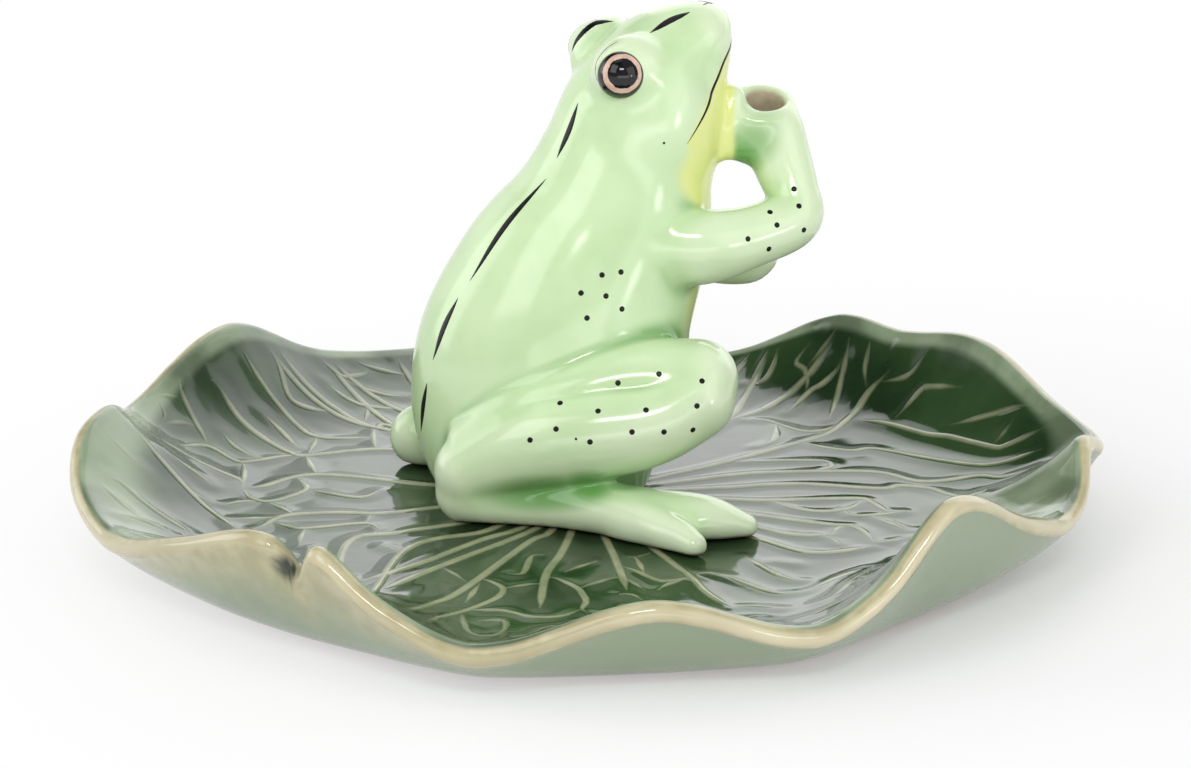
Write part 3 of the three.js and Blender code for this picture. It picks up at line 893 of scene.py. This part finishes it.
def leaf_mesh():
    """Rings from the hub outwards, over the lip, down the wall and under the foot, each with its marks."""
    turn = np.linspace(0, 2 * math.pi, LEAF_AROUND, endpoint=False)
    level = 0 * turn
    rings = []
    marks = []

    def ring(radius, height, lip, wall, rim):
        rings.append(np.stack((*plan_point(turn, radius + level), height + level), 1))
        marks.append(np.stack([mark + level for mark in (lip, wall, rim)], 1))

    for share in np.linspace(HUB_GAP, 1, FLOOR_RINGS):
        ring(share * LEAF.flat, FLOOR_HEIGHT, 0, 0, 0)
    inner_radius, inner_height = LEAF.inside(turn)
    for share in np.linspace(0, 1, BOWL_RINGS)[1:]:
        radius = LEAF.flat + share * (inner_radius - LEAF.flat)
        height = FLOOR_HEIGHT + (inner_height - FLOOR_HEIGHT) * share ** FLOOR_RISE
        # rim: thin glaze near the lip, and painted sheen on the right fold
        ring(radius, height, 0, 0, thin_glaze_and_sheen(turn, share))
    stained = STAIN_REACH * np.maximum(0, np.cos(turn - STAIN_BEARING)) ** 4
    for lean in np.linspace(90, -90, LIP_RINGS)[1:]:
        cream = np.maximum(np.interp(lean, *np.array(LIP_CREAM).T), (lean < 0) * stained)
        ring(*LEAF.roll(turn, math.radians(lean)), cream, 1 - lean / 90, 1)
    outer_radius, outer_height = LEAF.roll(turn, -math.pi / 2)
    for share in np.linspace(1, 0, WALL_RINGS)[1:]:
        radius = LEAF.foot + share * (outer_radius - LEAF.foot)
        cream = stained * limited(1 - (1 - share) / (STAIN_BLUR + stained))
        ring(radius, outer_height * share ** WALL_RISE, cream, 1 + share, 1)
    for share in np.linspace(1, HUB_GAP, FOOT_RINGS)[1:]:
        ring(share * LEAF.foot, 0, 0, 1, 1)
    count = len(rings) * LEAF_AROUND
    faces = grid_faces(0, len(rings), LEAF_AROUND, closed=True)
    faces.append(tuple(range(LEAF_AROUND)))
    faces.append(tuple(reversed(range(count - LEAF_AROUND, count))))
    return np.concatenate(rings), faces, np.concatenate(marks).T


def press_dimple(points, wall):
    """Presses in the dimple beside the notch. Gives its depth at each point, as a share of the whole."""
    across, down = shown_at(points)
    away = np.hypot(across - DIMPLE_PIXEL[0], down - DIMPLE_PIXEL[1])
    depth = np.linalg.norm(points - VIEW_PLACE, axis=1)
    middle = points[np.where((wall > 1) & (away < DIMPLE_SEARCH), depth, np.inf).argmin()]
    share = np.exp(-(np.linalg.norm(points - middle, axis=1) / DIMPLE_RADIUS) ** 2) * (wall > 0)
    points[:, :2] *= (1 - DIMPLE_DEPTH * share / np.linalg.norm(middle[:2]))[:, None]
    return share


def leaf_glaze():
    n = Nodes(bpy.data.materials.new("leaf_glaze"))
    lip, wall, rim, crest, pit, clay = map(n.attribute, ("lip", "wall", "rim", "crest", "pit", "clay"))
    cloud = n.noise(0.02, 4)
    fine = n.noise(0.004, 3)
    green = n.mix(n.span(cloud, 0.3, 0.7), *LEAF_GREEN)
    # paler where the glaze is thin near the lip, and a painted sheen on the right fold
    thin = n.math("MULTIPLY", n.span(rim, 0.0, 0.65), n.span(cloud, 0.38, 0.62, 0.4, 1.0))
    green = n.mix(thin, green, LEAF_THIN_AND_SHEEN)
    green = n.mix(n.span(crest, 0.15, 0.8), green, n.mix(n.span(fine, 0.3, 0.7), *VEIN_GREEN))
    shade = n.math("ADD", wall, n.span(cloud, 0.3, 0.7, -0.2, 0.2))
    colour = n.mix(n.span(wall, 0.4, 0.9), green, n.mix(n.span(shade, 1.2, 1.9), *WALL_GREEN))
    worn = n.math("ADD", lip, n.span(cloud, 0.2, 0.8, -0.06, 0.06))
    colour = n.mix(n.span(worn, 0.06, 0.4), colour, n.mix(n.span(fine, 0.35, 0.65), *LIP_BEIGE))
    cream = n.mix(n.span(n.noise(0.03, 3), 0.35, 0.65), *LIP_WORN)
    colour = n.mix(n.span(worn, 0.55, 1.0), colour, cream)
    colour = n.mix(n.span(pit, 0.15, 0.85), colour, DIMPLE_GREEN)
    colour = n.mix(n.span(clay, 0.05, 0.3), colour, n.mix(fine, *FOOT_CLAY))
    # lowest part of the bare clay darkened: painted contact shadow
    colour = n.mix(n.span(clay, 0.5, 0.8), colour, FOOT_CONTACT_SHADOW)
    n.feed(n.shader, IOR=GLAZE_IOR)
    return n.finish(colour, n.span(clay, 0, 1, 0.09, 0.75), n.noise(0.006, 2), strength=0.12)


def make_leaf():
    veins = vein_lines()
    points, faces, (lip, wall, rim) = leaf_mesh()
    upper = (wall == 0) & (lip < 0.5)
    x, y, _ = points.T
    distance = np.full(len(points), CELL_SLOPE)
    distance[upper] = vein_distance(veins, x[upper], y[upper])
    inward = limited((LEAF.inside(np.arctan2(y, x))[0] - np.hypot(x, y)) / LIP_MARGIN)
    points[:, 2] -= np.where(upper, cell_dip(distance) * inward, 0)
    pit = press_dimple(points, wall)
    # bare clay at the foot; near the floor it also carries the painted contact shadow
    clay = limited((BARE_FOOT - points[:, 2]) / BARE_FADE)
    crest = VEIN_HALO * limited(1 - distance / VEIN_HALO_WIDTH) * upper * inward
    glaze = leaf_glaze()
    add_piece(
        "lotus_leaf", points, faces, "dish", "leaf_glaze", glaze, ["leaf_dish"],
        lip=lip, wall=wall, rim=rim, pit=pit, clay=clay, crest=crest,
    )
    points, faces, crests, thin_and_sheen = vein_mesh(veins)
    add_piece("leaf_veins", points, faces, "dish", "leaf_glaze", glaze, crest=crests, rim=thin_and_sheen)


# Frog skin

def soft_least(first, second, reach):
    """The lesser of two, with a fillet."""
    near = np.maximum(reach - np.abs(first - second), 0) / reach
    return np.minimum(first, second) - near ** 3 * reach / 6


def soft_most(first, second, reach):
    return -soft_least(-first, -second, reach)


def oval_offset(parts, halves):
    """How far places are outside an oval, less than 0 inside, from their parts along its half-sizes."""
    share = np.sqrt(sum((part / half) ** 2 for part, half in zip(parts, halves)))
    reach = np.sqrt(sum(part ** 2 for part in parts))
    return reach - reach / np.maximum(share, 1e-3)


def body_offset(x, y, z):
    """How far points are outside the body, less than 0 inside."""
    rows = smooth_line(BODY, BODY_STEPS)
    line = rows[:, [0, 2]]
    along = np.gradient(line, axis=0)
    length = np.linalg.norm(along, axis=1)
    along /= length[:, None]
    flat_x, flat_z = (part.ravel() for part in np.broadcast_arrays(x, z))
    best, _ = nearest(line, flat_x, flat_z, 20000)
    dx = flat_x - line[best, 0]
    dz = flat_z - line[best, 1]
    step = dx * along[best, 0] + dz * along[best, 1]
    side = dx * along[best, 1] - dz * along[best, 0]
    last = len(line) - 1
    inner = (best > 0) & (best < last)
    place = best + np.where(inner, np.clip(step / length[best], -0.6, 0.6), 0)
    past = np.where((best == 0) & (step < 0) | (best == last) & (step > 0), step, 0)
    numbers = np.arange(len(line))
    deep, wide = (np.interp(place, numbers, rows[:, k]) for k in (3, 4))
    side, past, deep, wide = (part.reshape(np.broadcast(x, z).shape) for part in (side, past, deep, wide))
    return oval_offset((side, y, past), (deep, wide, SNOUT_LENGTH)).astype(np.float32)


def limb_offset(rows, across, x, y, z):
    """How far points are outside a limb of oval sections."""
    across = np.array(across, dtype=float)
    best = None
    for a, b in zip(rows, rows[1:]):
        along = b[:3] - a[:3]
        length = np.linalg.norm(along)
        along = along / length
        side = unit(across - along * (across @ along))
        up = np.cross(along, side)
        run, over, out = (
            (x - a[0]) * d[0] + (y - a[1]) * d[1] + (z - a[2]) * d[2] for d in (along, up, side)
        )
        t = limited(run / length)
        tall, wide = (a[k] + (b[k] - a[k]) * t for k in (3, 4))
        offset = oval_offset((over, out, run - t * length), (tall, wide, np.minimum(tall, wide)))
        best = offset if best is None else np.minimum(best, offset)
    return best


def blur_along(field, axis, stride):
    pad = [(0, 0)] * 3
    pad[axis] = (2 * stride, 2 * stride)
    wide = np.pad(field, pad, mode="edge")
    size = field.shape[axis]
    total = np.zeros_like(field)
    for k, weight in enumerate((1, 4, 6, 4, 1)):
        part = [slice(None)] * 3
        part[axis] = slice(k * stride, k * stride + size)
        total += np.float32(weight / 16) * wide[tuple(part)]
    return total


class Skin:
    """A grid of distances from the frog's skin, in mm, that forms are joined to and cut from."""

    def __init__(self):
        self.count = np.round((GRID_HIGH - GRID_LOW) / VOXEL).astype(int) + 1
        axes = [low + VOXEL * np.arange(n) for low, n in zip(GRID_LOW, self.count)]
        self.axes = [a.astype(np.float32) for a in axes]
        x, y, z = self.window(GRID_LOW, GRID_HIGH)[1]
        self.field = body_offset(x, np.abs(y), z)

    def window(self, low, high):
        """The part of the grid in a box: its slices, and its coordinates ready to combine."""
        parts = []
        for axis, a, b in zip(self.axes, low, high):
            parts.append(slice(*np.searchsorted(axis, (a - 1e-3, b + 1e-3))))
        x, y, z = (axis[part] for axis, part in zip(self.axes, parts))
        return tuple(parts), (x[:, None, None], y[None, :, None], z[None, None, :])

    def join(self, offset, low, high, fillet):
        parts, places = self.window(low, high)
        self.field[parts] = soft_least(self.field[parts], offset(*places), fillet)

    def cut(self, offset, low, high, fillet):
        parts, places = self.window(low, high)
        self.field[parts] = soft_most(self.field[parts], -offset(*places), fillet)

    def limb(self, sections, fillet, across=ACROSS_BODY, trim=None):
        rows = smooth_line(sections, CURVE_STEPS)

        def offset(x, y, z):
            whole = limb_offset(rows, across, x, y, z)
            return whole if trim is None else soft_most(whole, trim(x, y, z), MOUTH_ROUNDING)

        margin = rows[:, 3:].max() + fillet + 2
        self.join(offset, rows[:, :3].min(axis=0) - margin, rows[:, :3].max(axis=0) + margin, fillet)

    def ellipsoid(self, centre, sizes, fillet):
        centre, sizes = np.array(centre), np.array(sizes)

        def offset(*places):
            return oval_offset([place - middle for place, middle in zip(places, centre)], sizes)

        self.join(offset, centre - sizes - fillet - 2, centre + sizes + fillet + 2, fillet)

    def blurred(self, strides):
        out = self.field.copy()
        for stride in strides:
            for axis in range(3):
                out = blur_along(out, axis, stride)
        return out

    def sample(self, field, points):
        """Values of a field on the grid at given points, in between the grid's own."""
        place = np.clip((points - GRID_LOW) / VOXEL, 0, self.count - 1.001)
        low = place.astype(int)
        t = place - low
        total = 0
        for corner in np.ndindex(2, 2, 2):
            weight = np.prod(np.where(corner, t, 1 - t), axis=1)
            total = total + weight * field[tuple((low + corner).T)]
        return total

    def mesh(self):
        """Points on the skin, quads between them, and the skin's normals."""
        grid = openvdb.FloatGrid(10.0)
        grid.copyFromArray(self.field)
        points, quads = grid.convertToQuads(0.0)
        points = GRID_LOW + VOXEL * np.asarray(points, dtype=float)
        slopes = np.gradient(self.field, VOXEL)
        for _ in range(3):
            normals = np.stack([self.sample(slope, points) for slope in slopes], 1)
            steep = np.maximum(np.sum(normals ** 2, axis=1), 0.05)
            points = points - (self.sample(self.field, points) / steep)[:, None] * normals
        normals = np.stack([self.sample(slope, points) for slope in slopes], 1)
        normals /= np.linalg.norm(normals, axis=1, keepdims=True)
        return points, np.asarray(quads), normals


def over_mouth(x, y, z):
    """Height over the slanted plane of the socket's rim."""
    return (z - SOCKET_MOUTH[2]) * math.cos(MOUTH_TILT) - (y - SOCKET_MOUTH[1]) * math.sin(MOUTH_TILT)


def bore_offset(x, y, z):
    aside = np.hypot(x - SOCKET_MOUTH[0], y - SOCKET_MOUTH[1]) - BORE_RADIUS
    return soft_most(aside, SOCKET_MOUTH[2] - BORE_DEPTH - z, EDGE_ROUNDING)


def drain_offset(x, y, z):
    return soft_most(np.hypot(x - DRAIN[0], y) - DRAIN[1], z - DRAIN[2], EDGE_ROUNDING)


def over_seat(x, y, z):
    return z + 0 * x + 0 * y


def beside_eye(side, reach, degrees):
    """A place at a distance from the axis of an eye, and turned from its front up and back."""
    aim = unit(np.array(EYE_AIM) * (1, side, 1))
    forward = unit(np.array((1, 0, 0)) - aim * aim[0])
    over = np.cross(aim, forward)
    over *= np.sign(over[2])
    turn = math.radians(degrees)
    out = math.cos(turn) * forward + math.sin(turn) * over
    return np.array(EYE_CENTRE) * (1, side, 1) + LID_PROUD * aim + reach * out


def lid_arc(side):
    """Sections of the lid that hoods an eye over its top and back."""
    rows = []
    for degrees in LID_TURNS:
        girth = LID_GIRTH * (0.55 + 0.45 * math.sin(math.radians((degrees - LID_TURNS.start) * 0.9)))
        rows.append((*beside_eye(side, LID_REACH, degrees), girth, girth))
    return rows


def on_side(side, sections):
    """Sections of the right side as they are, or mirrored for the left."""
    return sections if side < 0 else [(x, -y, *rest) for x, y, *rest in sections]


def frog_skin():
    skin = Skin()
    skin.limb(MUZZLE, fillet=3.0)
    skin.ellipsoid(*SNOUT_TIP, fillet=2.0)
    for side in (-1, 1):
        (x, y, z), sizes = BROW
        skin.ellipsoid((x, side * y, z), sizes, fillet=3.5)
        skin.limb(lid_arc(side), fillet=0.9)
        skin.limb(on_side(side, THIGH), fillet=2.5)
        skin.limb(SHANK if side < 0 else [LEFT_SHANK_END, *on_side(side, SHANK[1:])], fillet=0.9)
        skin.limb(on_side(side, TARSUS), fillet=1.6)
        for sections in (OUTER_TOE, INNER_TOE, WEB):
            skin.limb(on_side(side, sections), fillet=2.0)
    skin.ellipsoid(*LEFT_HEEL, fillet=4.0)
    skin.ellipsoid(*BELLY, fillet=4.0)
    skin.limb(LEFT_ARM, fillet=3.0, across=UPRIGHT)
    skin.limb(RIGHT_ARM, fillet=3.0)
    skin.limb(HEEL_OF_HAND, fillet=2.0)
    skin.limb(WRIST, fillet=0.8)
    skin.limb(FIST, fillet=2.0, trim=over_mouth)
    skin.ellipsoid(*PALM, fillet=2.0)
    skin.cut(bore_offset, *(np.array(BORE_BOX) + SOCKET_MOUTH), fillet=1.0)
    skin.field = skin.blurred((1,))
    skin.cut(over_seat, GRID_LOW, GRID_HIGH, fillet=0.8)
    skin.cut(drain_offset, *DRAIN_BOX, fillet=0.8)
    return skin


def frog_glaze():
    n = Nodes(bpy.data.materials.new("frog_glaze"))
    pool, ridge, belly, clay = map(n.attribute, ("pool", "ridge", "belly", "clay"))
    colour = n.mix(n.span(n.noise(0.012, 4), 0.3, 0.7), *FROG_GREEN)
    colour = n.mix(n.span(ridge, 0.2, 1.0, 0, 0.6), colour, FROG_RIDGE)
    # deep green: glaze pooled in creases, and painted shade under the fist, at the feet and at the belly's
    # base
    colour = n.mix(n.span(pool, 0.12, 1.5), colour, FROG_POOL_AND_SHADE)
    colour = n.mix(belly, colour, FROG_YELLOW)
    colour = n.mix(clay, colour, n.mix(n.noise(0.002, 4), *FROG_CLAY))
    n.feed(n.shader, IOR=GLAZE_IOR)
    return n.finish(colour, n.span(clay, 0, 1, 0.14, 0.8), n.noise(0.007, 2), strength=0.06)


def bare_clay(x, y, z):
    """Share of bare clay, under the seat and in the socket's bore."""
    aside = np.hypot(x - SOCKET_MOUTH[0], y - SOCKET_MOUTH[1])
    bore = limited((BORE_RADIUS + CLAY_RIM - aside) / CLAY_FADE) * limited(-over_mouth(x, y, z) / 0.6)
    bore *= z > SOCKET_MOUTH[2] - BORE_DEPTH - 1
    return np.maximum(limited((SEAT_CLAY - z) / CLAY_FADE), bore)


def belly_share(x, y, z):
    """Share of the yellow glaze on lower jaw, throat, belly and wrist. The far side follows the near one."""
    y = -np.abs(y)
    across, down = shown_at(np.stack((x, y, z), 1) + FROG_AT)
    levels, edges = np.array(YELLOW_EDGE).T
    ahead = (across - np.interp(down, levels, edges)) / np.interp(down, *np.array(YELLOW_BLUR).T)
    outside = np.abs(body_offset(x, np.abs(y), z))
    for sections in (MUZZLE, WRIST):
        rows = smooth_line(sections, CURVE_STEPS)
        outside = np.minimum(outside, np.abs(limb_offset(rows, ACROSS_BODY, x, y, z)))
    share = limited(ahead + 0.5) * limited(YELLOW_DEPTH - outside)
    share *= limited((YELLOW_FRONT - across) / YELLOW_FRONT_BLUR)
    return share * limited((z - YELLOW_BASE) / YELLOW_BASE_BLUR)


def glaze_pools(x, y, z):
    """Share of deep green under the fist, at both feet and at the belly's base: painted shade, with glaze
    pooled in the foot's crease.
    """
    hand = x > HAND_START
    across, down = shown_at(np.stack((x, np.where(hand, y, -np.abs(y)), z), 1) + FROG_AT)
    share = np.zeros(len(x))
    scale = FOCAL_PIXELS / VIEW_DISTANCE
    # painted shade under the fist and at the foot, partly glaze pooled in the foot's crease
    for (u, v), wide, tall, strength in POOLS_AND_SHADE:
        away = ((across - u) / (wide * scale)) ** 2 + ((down - v) / (tall * scale)) ** 2
        share = np.maximum(share, strength * limited(1 - away))
    # painted shade at the belly's base, low between the legs
    base = BASE_SHADE * limited((BASE_SHADE_TOP - z) / BASE_SHADE_FADE)
    base = base * limited(BASE_SHADE_HALF - np.abs(y)) * limited(x / 3)
    return np.maximum(np.where(hand & (y > HAND_LEFT), 0, share), base)


def make_frog_skin():
    skin = frog_skin()
    points, quads, normals = skin.mesh()
    bend = skin.sample(skin.blurred((1, 2, 3)) - skin.field, points)
    replaced = [
        "frog_body", "right_haunch", "left_haunch", "right_foot", "left_foot",
        "right_arm", "left_arm", "right_hand",
    ]
    piece = add_piece(
        "frog_skin", points + FROG_AT, quads.tolist(), "frog", "frog_glaze", frog_glaze(), replaced,
        ridge=limited(bend / RIDGE_BEND),
        # creases full of glaze, and painted shade under the fist, at the feet and at the belly's base
        pool=np.maximum(limited(-bend / CREASE_BEND), glaze_pools(*points.T)),
        belly=belly_share(*points.T),
        clay=bare_clay(*points.T),
    )
    piece.data.normals_split_custom_set_from_vertices(normals.tolist())
    return piece


# Eyes

def eye_glaze():
    n = Nodes(bpy.data.materials.new("eye_glaze"))
    grain = n.noise(0.0012, 2)
    edge = n.math("ADD", n.attribute("reach"), n.span(grain, 0.2, 0.8, -0.02, 0.02))
    colour = n.mix(n.span(edge, *PUPIL_EDGE), EYE_BLACK, n.mix(n.span(grain, 0.3, 0.7), *IRIS))
    colour = n.mix(n.span(edge, *IRIS_EDGE), colour, EYE_BLACK)
    return n.finish(colour, n.span(grain, 0.2, 0.8, 0.05, 0.09))


def make_eye(name, side, glaze):
    """A ball whose points keep their share of its radius, seen along the way the eye looks."""
    aim = Vector((EYE_AIM[0], side * EYE_AIM[1], EYE_AIM[2])).normalized()
    turn = np.array(aim.to_track_quat("Z", "Y").to_matrix())
    rows = [(0, 0, 1)]
    reach = [0.0]
    for k in range(1, EYE_RINGS):
        lean = math.pi * k / EYE_RINGS
        wide = math.sin(lean)
        rows += [(wide * across, wide * up, math.cos(lean)) for across, up in circle(EYE_AROUND)]
        reach += [wide if lean < math.pi / 2 else 1.0] * EYE_AROUND
    back = len(rows)
    rows.append((0, 0, -1))
    reach.append(1.0)
    points = EYE_RADIUS * np.array(rows) @ turn.T + (np.array(EYE_CENTRE) * (1, side, 1) + FROG_AT)
    faces = dome_faces(0, EYE_RINGS - 1, EYE_AROUND)
    ring = range(back - EYE_AROUND, back)
    faces += [(a, back, b) for a, b in zip(ring, [*ring[1:], ring[0]])]
    add_piece(name, points, faces, "frog", "eye_glaze", glaze, [name.replace("_look", "")], reach=reach)


# Painted marks

class Marks:
    """Thin painted shapes that lie on the skin, on the side of the photograph and mirrored on the other."""

    def __init__(self, skin):
        mesh = skin.data
        points = [v.co / MM for v in mesh.vertices]
        self.tree = BVHTree.FromPolygons(points, [tuple(p.vertices) for p in mesh.polygons])
        self.points = []
        self.faces = []

    def traced(self, pixels):
        """Places on the skin at pixels of the photograph, where they show the skin."""
        hits = [self.tree.ray_cast(Vector(VIEW_PLACE), Vector(sight(pixel)))[0] for pixel in pixels]
        return [np.array(hit) for hit in hits if hit is not None]

    def nearest(self, place):
        """The nearest place on the skin, and the skin's normal there."""
        near, normal, _, _ = self.tree.find_nearest(Vector(place))
        return np.array(near), np.array(normal)

    def lifted(self, place, lift):
        near, normal = self.nearest(place)
        return near + lift * normal

    def sides(self, places, mirror):
        """The places given, and with them their mirror images on the frog's other side."""
        across = np.array(places)
        across[..., 1] = 2 * FROG_AT[1] - across[..., 1]
        return [np.array(places), across] if mirror else [np.array(places)]

    def dot(self, place, radius, mirror, rings=3, around=18):
        for middle in self.sides(place, mirror):
            normal = self.nearest(middle)[1]
            u = unit(np.cross(normal, UPRIGHT))
            v = np.cross(normal, u)
            self.faces += dome_faces(len(self.points), rings, around)
            self.points.append(self.lifted(middle, PAINT_LIFT))
            for k in range(1, rings + 1):
                lift = PAINT_LIFT if k < rings else PAINT_SINK
                for right, up in circle(around):
                    out = radius * k / rings * (right * u + up * v)
                    self.points.append(self.lifted(middle + out, lift))

    def stroke(self, line, half_width, mirror=True, taper=True, columns=5):
        """A brush stroke along places on the skin, that thins to both ends or only to its last."""
        for path in self.sides(line, mirror):
            self.faces += grid_faces(len(self.points), len(path), columns)
            last = len(path) - 1
            for i, place in enumerate(path):
                ahead = path[min(i + 1, last)] - path[max(i - 1, 0)]
                side = unit(np.cross(self.nearest(place)[1], ahead))
                share = i / last
                thin = math.sin(math.pi * share) if taper else min(1, 3 - 3 * share)
                width = max(half_width * thin ** 0.8, LEAST_HALF_WIDTH)
                for across in np.linspace(-1, 1, columns):
                    lift = PAINT_LIFT if abs(across) < 0.9 else PAINT_SINK
                    self.points.append(self.lifted(place + across * width * side, lift))

    def line(self, pixels, steps=24):
        """Places on the skin along a smooth line through pixels."""
        rows = smooth_line([(*p, 0) for p in pixels], max(2, steps // (len(pixels) - 1)))
        return self.traced(rows[:, :2])


def black_glaze():
    n = Nodes(bpy.data.materials.new("black_glaze"))
    grain = n.noise(0.0015, 3)
    n.feed(n.shader, IOR=PAINT_IOR)
    return n.finish(n.mix(n.span(grain, 0.3, 0.7), *PAINT_BLACK), n.span(grain, 0.2, 0.8, 0.25, 0.4))


def mouth_line(marks):
    """The mouth from its middle in front to its corner, with its bends evened out."""
    seen = marks.line(MOUTH, 40)
    front = FROG_AT + MOUTH_FRONT
    lead = [marks.lifted(front + (seen[0] - front) * share, 0) for share in np.linspace(0, 1, 7)[:-1]]
    mouth = np.array(lead + seen)
    for _ in range(MOUTH_EASING):
        mouth[1:-1] = (mouth[:-2] + 2 * mouth[1:-1] + mouth[2:]) / 4
    return mouth


def make_marks(skin):
    marks = Marks(skin)
    for pixels, radius, mirror in (
        (DOTS, DOT_RADIUS, True), (ARM_DOTS, DOT_RADIUS, False), (TINY_DOTS, TINY_DOT_RADIUS, True),
    ):
        for place in marks.traced(pixels):
            marks.dot(place, radius, mirror)
    for pixels in DASHES:
        marks.stroke(marks.line(pixels), DASH_HALF_WIDTH)
    marks.stroke(marks.line(NOSTRIL), NOSTRIL_HALF_WIDTH)
    marks.stroke(marks.line(FAR_BROW), FAR_BROW_HALF_WIDTH, mirror=False)
    lid_line = [FROG_AT + beside_eye(-1, LID_LINE_REACH, degrees) for degrees in LID_LINE_TURNS]
    marks.stroke(lid_line, LID_LINE_HALF_WIDTH, mirror=False)
    marks.stroke(mouth_line(marks), MOUTH_HALF_WIDTH, taper=False)
    add_piece("painted_marks", marks.points, marks.faces, "frog", "eye_glaze", black_glaze())


# Studio

def add_floor():
    """A floor that is pure white to the eye but for the part that keeps the shadow."""
    points = [(x * FLOOR_HALF, y * FLOOR_HALF, 0) for x, y in ((-1, -1), (1, -1), (1, 1), (-1, 1))]
    mesh = bpy.data.meshes.new("floor")
    mesh.from_pydata(points, [], [(0, 1, 2, 3)])
    floor = bpy.data.objects.new("floor", mesh)
    bpy.context.collection.objects.link(floor)
    floor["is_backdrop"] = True
    n = Nodes(bpy.data.materials.new("floor"))
    shift = n.add("VectorMath", operation="SUBTRACT")
    n.join(shift.inputs[0], n.add("TexCoord").outputs["Object"])
    n.join(shift.inputs[1], SHADE_MIDDLE)
    length = n.add("VectorMath", operation="LENGTH")
    n.join(length.inputs[0], shift.outputs[0])
    far = n.span(length.outputs["Value"], 0.0, SHADE_RADIUS, SHADE_WHITE, 1.0)
    paths = n.add("LightPath").outputs
    seen = n.math("MAXIMUM", paths["Is Camera Ray"], paths["Is Glossy Ray"])
    seen = n.math("MAXIMUM", seen, paths["Is Transmission Ray"])
    grey = (FLOOR_GREY, FLOOR_GREY, FLOOR_GREY, 1)
    n.feed(n.shader, Base_Color=grey, Roughness=0.9, Specular_IOR_Level=0.1)
    blend = n.add("MixShader")
    shaders = (n.shader.outputs[0], n.add("Emission").outputs[0])
    for socket, value in zip(blend.inputs, (n.math("MULTIPLY", far, seen), *shaders)):
        n.join(socket, value)
    n.feed(n.tree.nodes["Material Output"], Surface=blend.outputs[0])
    mesh.materials.append(n.owner)


def add_world():
    """White surroundings. In the gloss they are dim in front, and dark high up on the left."""
    n = Nodes(bpy.data.worlds.new("studio"))
    paths = n.add("LightPath").outputs
    mirrored = paths["Is Glossy Ray"]
    seen = n.math("MAXIMUM", paths["Is Camera Ray"], paths["Is Transmission Ray"])
    direction = n.add("SeparateXYZ")
    n.feed(direction, Vector=n.add("TexCoord").outputs["Generated"])
    x, y, z = direction.outputs
    dark = n.math("MULTIPLY", n.span(x, 0.1, -0.12), n.span(z, 0.35, 0.55))
    room = n.math("MULTIPLY", n.span(y, 0.1, 0.5, ROOM_FRONT, 1.0), n.math("SUBTRACT", 1.0, dark))
    plain = n.math("MULTIPLY", n.span(seen, 0, 1, ROOM_LIGHT, 1.0), n.math("SUBTRACT", 1.0, mirrored))
    strength = n.math("ADD", plain, n.math("MULTIPLY", room, mirrored))
    n.feed(n.tree.nodes["Background"], Color=(1, 1, 1, 1), Strength=strength)
    bpy.context.scene.world = n.owner


def add_lamps():
    for name, place, target, width, height, watts in LAMPS:
        data = bpy.data.lights.new(name, "AREA")
        data.shape = "RECTANGLE"
        data.size = width * MM
        data.size_y = height * MM
        data.energy = watts
        lamp = bpy.data.objects.new(name, data)
        lamp.location = Vector(place) * MM
        aim = Vector(target) - Vector(place)
        lamp.rotation_euler = aim.to_track_quat("-Z", "Y").to_euler()
        bpy.context.collection.objects.link(lamp)


add_camera()
add_floor()
add_world()
add_lamps()
make_leaf()
frog = make_frog_skin()
eye_finish = eye_glaze()
make_eye("right_eye_look", -1, eye_finish)
make_eye("left_eye_look", 1, eye_finish)
make_marks(frog)

bpy.context.scene.view_settings.view_transform = "Standard"
plain = lambda corners: [[float(value) for value in corner] for corner in corners]
{"cad": plain(CAD_BOX), "visual": plain(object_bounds())}
